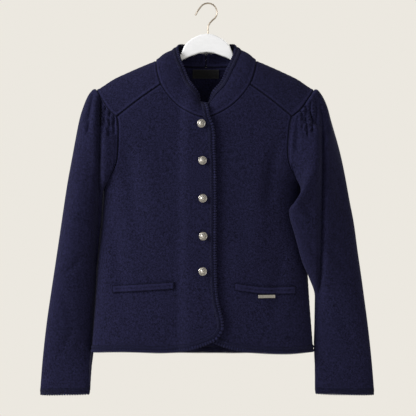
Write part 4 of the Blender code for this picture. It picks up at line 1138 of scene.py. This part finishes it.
class Finish:
    """A material under construction: its node tree, with short ways to add the few kinds of node used here.
    Node inputs are named by their titles, with underscores for spaces."""

    def __init__(self, name, roughness, metallic=0.0):
        self.material = bpy.data.materials.new(name)
        self.material.use_nodes = True
        self.tree = self.material.node_tree
        self.shader = self.tree.nodes["Principled BSDF"]
        self.shader.inputs["Roughness"].default_value = roughness
        self.shader.inputs["Metallic"].default_value = metallic
        self.place = self.add("ShaderNodeTexCoord").outputs["Object"]

    def add(self, kind, **inputs):
        node = self.tree.nodes.new(kind)
        for title, value in inputs.items():
            self.feed(node.inputs[title.replace("_", " ")], value)
        return node

    def feed(self, socket, value):
        if isinstance(value, bpy.types.NodeSocket):
            self.tree.links.new(value, socket)
        else:
            socket.default_value = value

    def noise(self, scale, detail=3.0, roughness=0.55, stretch=(1, 1, 1)):
        moved = self.add("ShaderNodeMapping", Vector=self.place, Scale=stretch)
        node = self.add("ShaderNodeTexNoise", Vector=moved.outputs[0], Scale=scale, Detail=detail)
        node.inputs["Roughness"].default_value = roughness
        return node.outputs["Fac"]

    def along_cloth(self, turn=0.0):
        moved = self.add("ShaderNodeMapping", Vector=self.add("ShaderNodeUVMap").outputs[0])
        moved.inputs["Rotation"].default_value = (0, 0, turn)
        return moved.outputs[0]

    def waves(self, period, place, distortion=0.0):
        """Ribs a period apart, in metres."""
        scale = math.pi / (10 * period)
        node = self.add("ShaderNodeTexWave", Vector=place, Scale=scale, Distortion=distortion)
        return node.outputs["Fac"]

    def attribute(self, title):
        node = self.add("ShaderNodeAttribute")
        node.attribute_name = title
        return node.outputs["Fac"]

    def between(self, value, low, high, new_low=0.0, new_high=1.0):
        node = self.add("ShaderNodeMapRange", Value=value, From_Min=low, From_Max=high)
        self.feed(node.inputs["To Min"], new_low)
        self.feed(node.inputs["To Max"], new_high)
        return node.outputs[0]

    def work(self, kind, first, second):
        node = self.add("ShaderNodeMath")
        node.operation = kind
        self.feed(node.inputs[0], first)
        self.feed(node.inputs[1], second)
        return node.outputs[0]

    def tint(self, share, first, second):
        node = self.add("ShaderNodeMix")
        node.data_type = "RGBA"
        self.feed(node.inputs["Factor"], share)
        self.feed(node.inputs[6], first)
        self.feed(node.inputs[7], second)
        return node.outputs[2]

    def bump(self, height, distance, strength=1.0, under=None):
        node = self.add("ShaderNodeBump", Height=height, Distance=distance, Strength=strength)
        if under is not None:
            self.feed(node.inputs["Normal"], under)
        return node.outputs[0]

    def layered(self, base, colour, layers):
        """The base with layers over it, each given by its mask and how light its shade of the colour is."""
        for mask, by in layers:
            base = self.tint(mask, base, shade(colour, by))
        return base

    def use(self, **sockets):
        for title, value in sockets.items():
            self.feed(self.shader.inputs[title.replace("_", " ")], value)
        return self.material


def shade(colour, by):
    """A colour made lighter or darker, with full opacity."""
    return (*(min(1.0, part * by) for part in colour), 1.0)


def wool_finish():
    """Felted navy wool: mottled, with painted shade in the seams and a painted highlight on the ridge beside
    them, with lint and a short nap.
    """
    wool = Finish("felted wool", 0.92)
    colour = tuple(cloth_settings().wool)
    mottle = wool.noise(300, 5, 0.75)
    cloud = wool.noise(24, 3, 0.6)
    lint = wool.noise(700, 2, 0.5)
    fibre = wool.noise(1500, 3, 0.7, stretch=(1, 1, 0.55))
    seam = wool.attribute("seam")
    # rise and fall mark the ridge beside each seam that gets a painted highlight
    rise, fall = wool.between(seam, 0.0018, 0.0030), wool.between(seam, 0.0046, 0.0066, 1.0, 0.0)
    base = wool.tint(wool.between(mottle, 0.34, 0.66), shade(colour, 0.2), shade(colour, 2.1))
    base = wool.layered(base, colour, (
        (wool.between(cloud, 0.35, 0.7, 0.0, 0.35), 1.35),
        # Painted shade: the cloth is darkened right in each seam
        (wool.between(seam, 0.0002, 0.0021, 0.85, 0.0), 0.1),
        # Painted highlight: the ridge beside each seam is lightened
        (wool.work("MULTIPLY", wool.work("MULTIPLY", rise, fall), 0.45), 2.3),
        (wool.between(lint, 0.70, 0.78, 0.0, 0.5), 3.4),
    ))
    depth = cloth_settings().nap_depth
    felt = wool.bump(wool.noise(420, 5, 0.72), depth * 2.2, 0.9)
    nap = wool.bump(fibre, depth, 0.8, felt)
    return wool.use(
        Base_Color=base, Normal=nap, Sheen_Weight=0.04, Sheen_Roughness=0.5,
        Sheen_Tint=shade((0.42, 0.44, 0.8), 1), Specular_IOR_Level=0.04,
    )


def braid_finish():
    """Crocheted yarn: slanted strands that follow the edging, with painted shade between its stitches and a
    painted highlight on its higher parts.
    """
    braid = Finish("crocheted yarn", 1.0)
    colour = tuple(cloth_settings().yarn)
    strands = braid.waves(0.0017, braid.along_cloth(0.55), 1.6)
    rows = braid.waves(0.0024, braid.along_cloth(math.pi / 2), 0.8)
    weave = braid.work("ADD", braid.work("MULTIPLY", strands, 0.65), braid.work("MULTIPLY", rows, 0.35))
    fuzz = braid.noise(1400, 3, 0.7)
    height = braid.between(braid.attribute("height"), 0.35, 0.9)
    base = braid.tint(braid.between(weave, 0.25, 0.75), shade(colour, 0.35), shade(colour, 2.1))
    base = braid.layered(base, colour, (
        # Painted highlight: the higher parts of the edging are lightened
        (braid.work("MULTIPLY", height, 0.45), 2.3),
        (braid.between(braid.noise(330, 3, 0.6), 0.52, 0.66, 0.0, 0.8), 3.0),
        # Painted shade: the yarn is darkened between its shells and knots
        (braid.between(braid.attribute("stitch"), 0.1, 0.75, 0.85, 0.0), 0.1),
    ))
    surface = braid.bump(fuzz, 0.0002, 0.7, braid.bump(weave, 0.0013, 1.0))
    return braid.use(
        Base_Color=base, Normal=surface, Sheen_Weight=0.02, Sheen_Roughness=0.5, Specular_IOR_Level=0.02
    )


def button_finish():
    """Antique silver: bright where it is rubbed, dark in the grooves of its face."""
    metal = Finish("antique silver", 0.28, 1.0)
    colour = tuple(cloth_settings().metal)
    worn = metal.attribute("worn")
    stain = metal.noise(600, 4, 0.65)
    share = metal.work("ADD", metal.work("MULTIPLY", worn, 0.8), metal.between(stain, 0.3, 0.75, -0.15, 0.3))
    base = metal.tint(share, shade(colour, 0.10), shade(colour, 1.25))
    rough = metal.between(share, 0.0, 1.0, 0.55, 0.2)
    return metal.use(Base_Color=base, Roughness=rough, Normal=metal.bump(metal.noise(1900, 3), 0.00005, 0.6))


def label_finish():
    """Black woven tape, with fine ribs and a border painted slightly lighter as a painted sheen."""
    label = Finish("woven label", 0.7)
    edge = label.between(label.attribute("edge"), 0.0010, 0.0024, 1.0, 0.0)
    ribs = label.waves(0.0006, label.along_cloth(), 0.0)
    # Painted sheen: the raised border is given a lighter colour, with the same roughness as the rest
    base = label.tint(edge, (0.006, 0.006, 0.007, 1), (0.014, 0.014, 0.016, 1))
    base = label.tint(label.work("MULTIPLY", ribs, 0.4), base, (0.011, 0.011, 0.013, 1))
    return label.use(Base_Color=base, Normal=label.bump(ribs, 0.00015, 0.8), Specular_IOR_Level=0.1)


def hanger_finish():
    """Satin white plastic with faint marks from use."""
    paint = Finish("satin white", 0.34)
    marks = paint.between(paint.noise(90, 6, 0.75, stretch=(0.3, 1, 1)), 0.45, 0.75)
    base = paint.tint(marks, (0.54, 0.55, 0.575, 1), (0.49, 0.50, 0.52, 1))
    rough = paint.between(marks, 0.0, 1.0, 0.30, 0.46)
    return paint.use(Base_Color=base, Roughness=rough, Normal=paint.bump(paint.noise(500, 3), 0.00004, 0.5))


def hook_finish():
    """Bronze-grey wire, drawn along its length and a little stained."""
    wire = Finish("drawn wire", 0.33, 1.0)
    stain = wire.noise(260, 5, 0.7)
    base = wire.tint(wire.between(stain, 0.35, 0.7), (0.20, 0.165, 0.13, 1), (0.38, 0.34, 0.29, 1))
    drawn = wire.noise(1600, 2, 0.5, stretch=(1, 1, 0.12))
    rough = wire.between(stain, 0.3, 0.7, 0.24, 0.46)
    return wire.use(Base_Color=base, Roughness=rough, Normal=wire.bump(drawn, 0.00005, 0.6))


FINISHES = {
    "wool": wool_finish, "braid": braid_finish, "button_metal": button_finish, "label_cloth": label_finish,
    "hanger_paint": hanger_finish, "hook_metal": hook_finish,
}
made_finishes = {}


def finish(slot):
    """The material of one of the record's slots, made once."""
    if slot not in made_finishes:
        made_finishes[slot] = FINISHES[slot]()
    return made_finishes[slot]


def repaint(node, slot):
    """Gives a carried-over solid its finish."""
    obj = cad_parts[node]
    for place in obj.material_slots:
        place.material = finish(slot)
    if not obj.material_slots:
        obj.data.materials.append(finish(slot))


class JACKET_OT_make_stage(Operator):
    """Makes the camera, the light and the plain ground"""

    bl_idname = "jacket.make_stage"
    bl_label = "Stage"

    def execute(self, context):
        scene, look = context.scene, stage_settings()
        view = bpy.data.objects.new("camera", bpy.data.cameras.new("camera"))
        view.location = CAMERA_AT
        view.rotation_euler = (math.radians(90), 0, 0)
        view.data.lens = CAMERA_LENS
        scene.collection.objects.link(view)
        scene.camera = view
        for name, power, size, place in (
            ("key", look.key_power, KEY_WIDE, KEY_AT),
            ("fill", look.fill_power, OTHER_WIDE, FILL_AT),
            ("rear", look.rear_power, OTHER_WIDE, REAR_AT),
        ):
            light = bpy.data.objects.new(name, bpy.data.lights.new(name, "AREA"))
            light.data.energy, light.data.size = power, size
            light.location = place
            away = light.location - type(light.location)(LIGHT_AIM)
            light.rotation_euler = away.to_track_quat("Z", "Y").to_euler()
            scene.collection.objects.link(light)
        world = bpy.data.worlds.new("plain surroundings")
        world.use_nodes = True
        world.node_tree.nodes["Background"].inputs["Color"].default_value = (*look.ground, 1)
        scene.world = world
        scene.view_settings.view_transform = "Standard"
        bpy.ops.mesh.primitive_circle_add(
            vertices=GROUND_SIDES, radius=GROUND_WIDE, fill_type="NGON", location=(0, 0, GROUND_Z)
        )
        ground = context.object
        ground.name = "ground"
        bpy.ops.object.transform_apply(location=True, rotation=True, scale=True)
        pale = Finish("pale ground", 0.8)
        tone = pale.between(pale.noise(3, 2), 0.3, 0.7)
        ground.data.materials.append(
            pale.use(Base_Color=pale.tint(tone, shade(look.ground, 0.97), shade(look.ground, 1.0)))
        )
        return {"FINISHED"}


class JACKET_OT_make_edging(Operator):
    """Makes the crocheted edging of the collar, fronts, hem and cuffs"""

    bl_idname = "jacket.make_edging"
    bl_label = "Edging"

    def execute(self, context):
        for side, word in SIDES:
            make_edging(f"edging_{word}", *edge_path(side), side, start=(side, 0, 0))
            rings, normals = sleeve_grid(side)
            make_edging(f"edging_cuff_{word}", rings[-1], normals[-1], side, closed=True)
        make_edging("edging_back_hem", *panel(1, 1, back_grid()[0]), -1)
        return {"FINISHED"}


class JACKET_OT_make_body(Operator):
    """Makes the fronts, the yokes and the back"""

    bl_idname = "jacket.make_body"
    bl_label = "Body"

    def execute(self, context):
        for side, word in SIDES:
            points, normals = panel(side, -1, front_grid(side))
            foot, top, first, last = from_edges(points)
            front = sewn(f"front_{word}_cloth", points, normals, dips=((top, first), (last, foot)))
            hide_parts(f"front_{word}")

            points, normals = yoke_panel(side)
            foot, top, first, last = from_edges(points)
            laps, dips = ((foot, first), (last, foot)), ((top, first), (first, foot))
            yoke = sewn(f"yoke_{word}_cloth", points, normals, laps, dips)
            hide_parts(f"yoke_{word}")

        points, normals = panel(1, 1, back_grid())
        foot, top, first, last = from_edges(points)
        back = sewn("back_cloth", points, normals, dips=((top, first), (first, foot), (last, foot)))
        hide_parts("back")
        return {"FINISHED"}


class JACKET_OT_make_collar(Operator):
    """Makes both halves of the collar"""

    bl_idname = "jacket.make_collar"
    bl_label = "Collar"

    def execute(self, context):
        for side, word in SIDES:
            points, normals = collar_grid(side)
            foot, _, first, last = from_edges(points)
            half = sewn(f"collar_{word}_cloth", points, normals, laps=((foot, first),), dips=((last, foot),))
            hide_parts(f"collar_{word}")
        return {"FINISHED"}


class JACKET_OT_make_sleeves(Operator):
    """Makes both sleeves, each one tube that is gathered into its armhole"""

    bl_idname = "jacket.make_sleeves"
    bl_label = "Sleeves"

    def execute(self, context):
        for side, word in SIDES:
            rings, normals = sleeve_grid(side)
            down, _, round_it, _ = from_edges(rings)
            low = fade((LAP_FROM_Z - rings[0, :, 2]) / LAP_FADE)[None] * np.ones(rings.shape[:2])
            laps, dips = ((down * LAP_WIDE / LAP_SLEEVE, round_it, low),), ((down, round_it, 1 - low),)
            sleeve = sewn(f"sleeve_{word}_cloth", rings, normals, laps, dips, closed=True)
            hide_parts(*(f"sleeve_{face}_{part}_{word}" for face, part in SLEEVE_PARTS))
        return {"FINISHED"}


class JACKET_OT_make_welts(Operator):
    """Makes the two pocket welts"""

    bl_idname = "jacket.make_welts"
    bl_label = "Pocket welts"

    def execute(self, context):
        for side, word in SIDES:
            make_welt(side, word)
        return {"FINISHED"}


class JACKET_OT_make_label(Operator):
    """Makes the bare neck label"""

    bl_idname = "jacket.make_label"
    bl_label = "Neck label"

    def execute(self, context):
        make_label()
        return {"FINISHED"}


class JACKET_OT_make_buttons(Operator):
    """Makes the five domed buttons, one modelled and the others copied from it"""

    bl_idname = "jacket.make_buttons"
    bl_label = "Buttons"

    def execute(self, context):
        form = turned_button()
        form.data.materials.append(finish("button_metal"))
        for number in range(1, BUTTON_COUNT + 1):
            low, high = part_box(f"button_{number}")
            button = form.copy()
            button.data = form.data.copy()
            button.name = f"button_{number}_metal"
            context.scene.collection.objects.link(button)
            button.rotation_euler = (math.radians(90), math.radians(BUTTON_TURN * number), 0)
            button.location = ((low.x + high.x) / 2, high.y + BUTTON_STEPS[0][1] * MM, (low.z + high.z) / 2)
            alone(button)
            bpy.ops.object.transform_apply(location=True, rotation=True, scale=True)
            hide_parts(f"button_{number}")
            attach(button, BODY)
        bpy.data.objects.remove(form)
        return {"FINISHED"}


class JACKET_OT_make_bar(Operator):
    """Makes the small plain metal bar under the left pocket welt"""

    bl_idname = "jacket.make_bar"
    bl_label = "Metal bar"

    def execute(self, context):
        bpy.ops.object.select_all(action="DESELECT")
        bpy.ops.mesh.primitive_cube_add(size=1)
        bar = context.object
        bar.name = "pocket_bar_metal"
        bpy.ops.object.mode_set(mode="EDIT")
        bpy.ops.mesh.select_all(action="SELECT")
        size = (BAR_LONG * MM, BAR_THICK * MM, BAR_HIGH * MM)
        bpy.ops.transform.resize(value=size, center_override=(0, 0, 0))
        bpy.ops.mesh.bevel(offset=BAR_BEVEL * MM, segments=BAR_BEVEL_STEPS, affect="EDGES")
        select_front_faces()
        bpy.ops.mesh.inset(thickness=BAR_FRAME * MM)
        bpy.ops.mesh.inset(thickness=BAR_STEP * MM, depth=BAR_SUNK * MM)
        bpy.ops.mesh.select_all(action="DESELECT")
        bpy.ops.object.mode_set(mode="OBJECT")
        z = np.array([BAR_Z])
        points, normals = on_body(1, -1, turn_of(np.array([BAR_HALF]), z), z)
        normal = normals[0]
        bar.location = (points[0] + (SEAM + BAR_GAP + BAR_THICK / 2) * normal) * MM
        bar.rotation_euler = (math.asin(-normal[2]), 0, math.atan2(normal[0], -normal[1]))
        alone(bar)
        bpy.ops.object.transform_apply(location=True, rotation=True, scale=True)
        bpy.ops.object.shade_smooth_by_angle(angle=math.radians(BAR_SHARP))
        set_wear(bar, np.full(len(bar.data.vertices), BAR_WORN))
        bar.data.materials.append(finish("button_metal"))
        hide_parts("pocket_bar")
        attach(bar, BODY)
        return {"FINISHED"}


class JACKET_OT_make_hanger(Operator):
    """Finishes the hanger and its hook, whose solids are kept"""

    bl_idname = "jacket.make_hanger"
    bl_label = "Hanger"

    def execute(self, context):
        repaint("hanger", "hanger_paint")
        repaint("hanger_hook", "hook_metal")
        return {"FINISHED"}


STEPS = (
    JACKET_OT_make_stage, JACKET_OT_make_edging, JACKET_OT_make_body, JACKET_OT_make_collar,
    JACKET_OT_make_sleeves, JACKET_OT_make_welts, JACKET_OT_make_label, JACKET_OT_make_buttons,
    JACKET_OT_make_bar, JACKET_OT_make_hanger,
)


class JACKET_PT_steps(Panel):
    """The jacket's pieces, in the order in which they are made"""

    bl_label = "Jacket"
    bl_idname = "JACKET_PT_steps"
    bl_space_type = "VIEW_3D"
    bl_region_type = "UI"
    bl_category = "Jacket"

    def draw(self, context):
        for group in (cloth_settings(), stage_settings()):
            for title in group.bl_rna.properties.keys():
                if title not in ("rna_type", "name"):
                    self.layout.prop(group, title)
        for step in STEPS:
            self.layout.operator(step.bl_idname)


CLASSES = (JacketCloth, JacketStage, *STEPS, JACKET_PT_steps)


def register():
    for item in CLASSES:
        bpy.utils.register_class(item)
    bpy.types.Scene.jacket_cloth = PointerProperty(type=JacketCloth)
    bpy.types.Scene.jacket_stage = PointerProperty(type=JacketStage)


def unregister():
    del bpy.types.Scene.jacket_cloth
    del bpy.types.Scene.jacket_stage
    for item in reversed(CLASSES):
        bpy.utils.unregister_class(item)


def main():
    register()
    for step in STEPS:
        group, name = step.bl_idname.split(".")
        getattr(getattr(bpy.ops, group), name)()


if __name__ == "__main__":
    main()
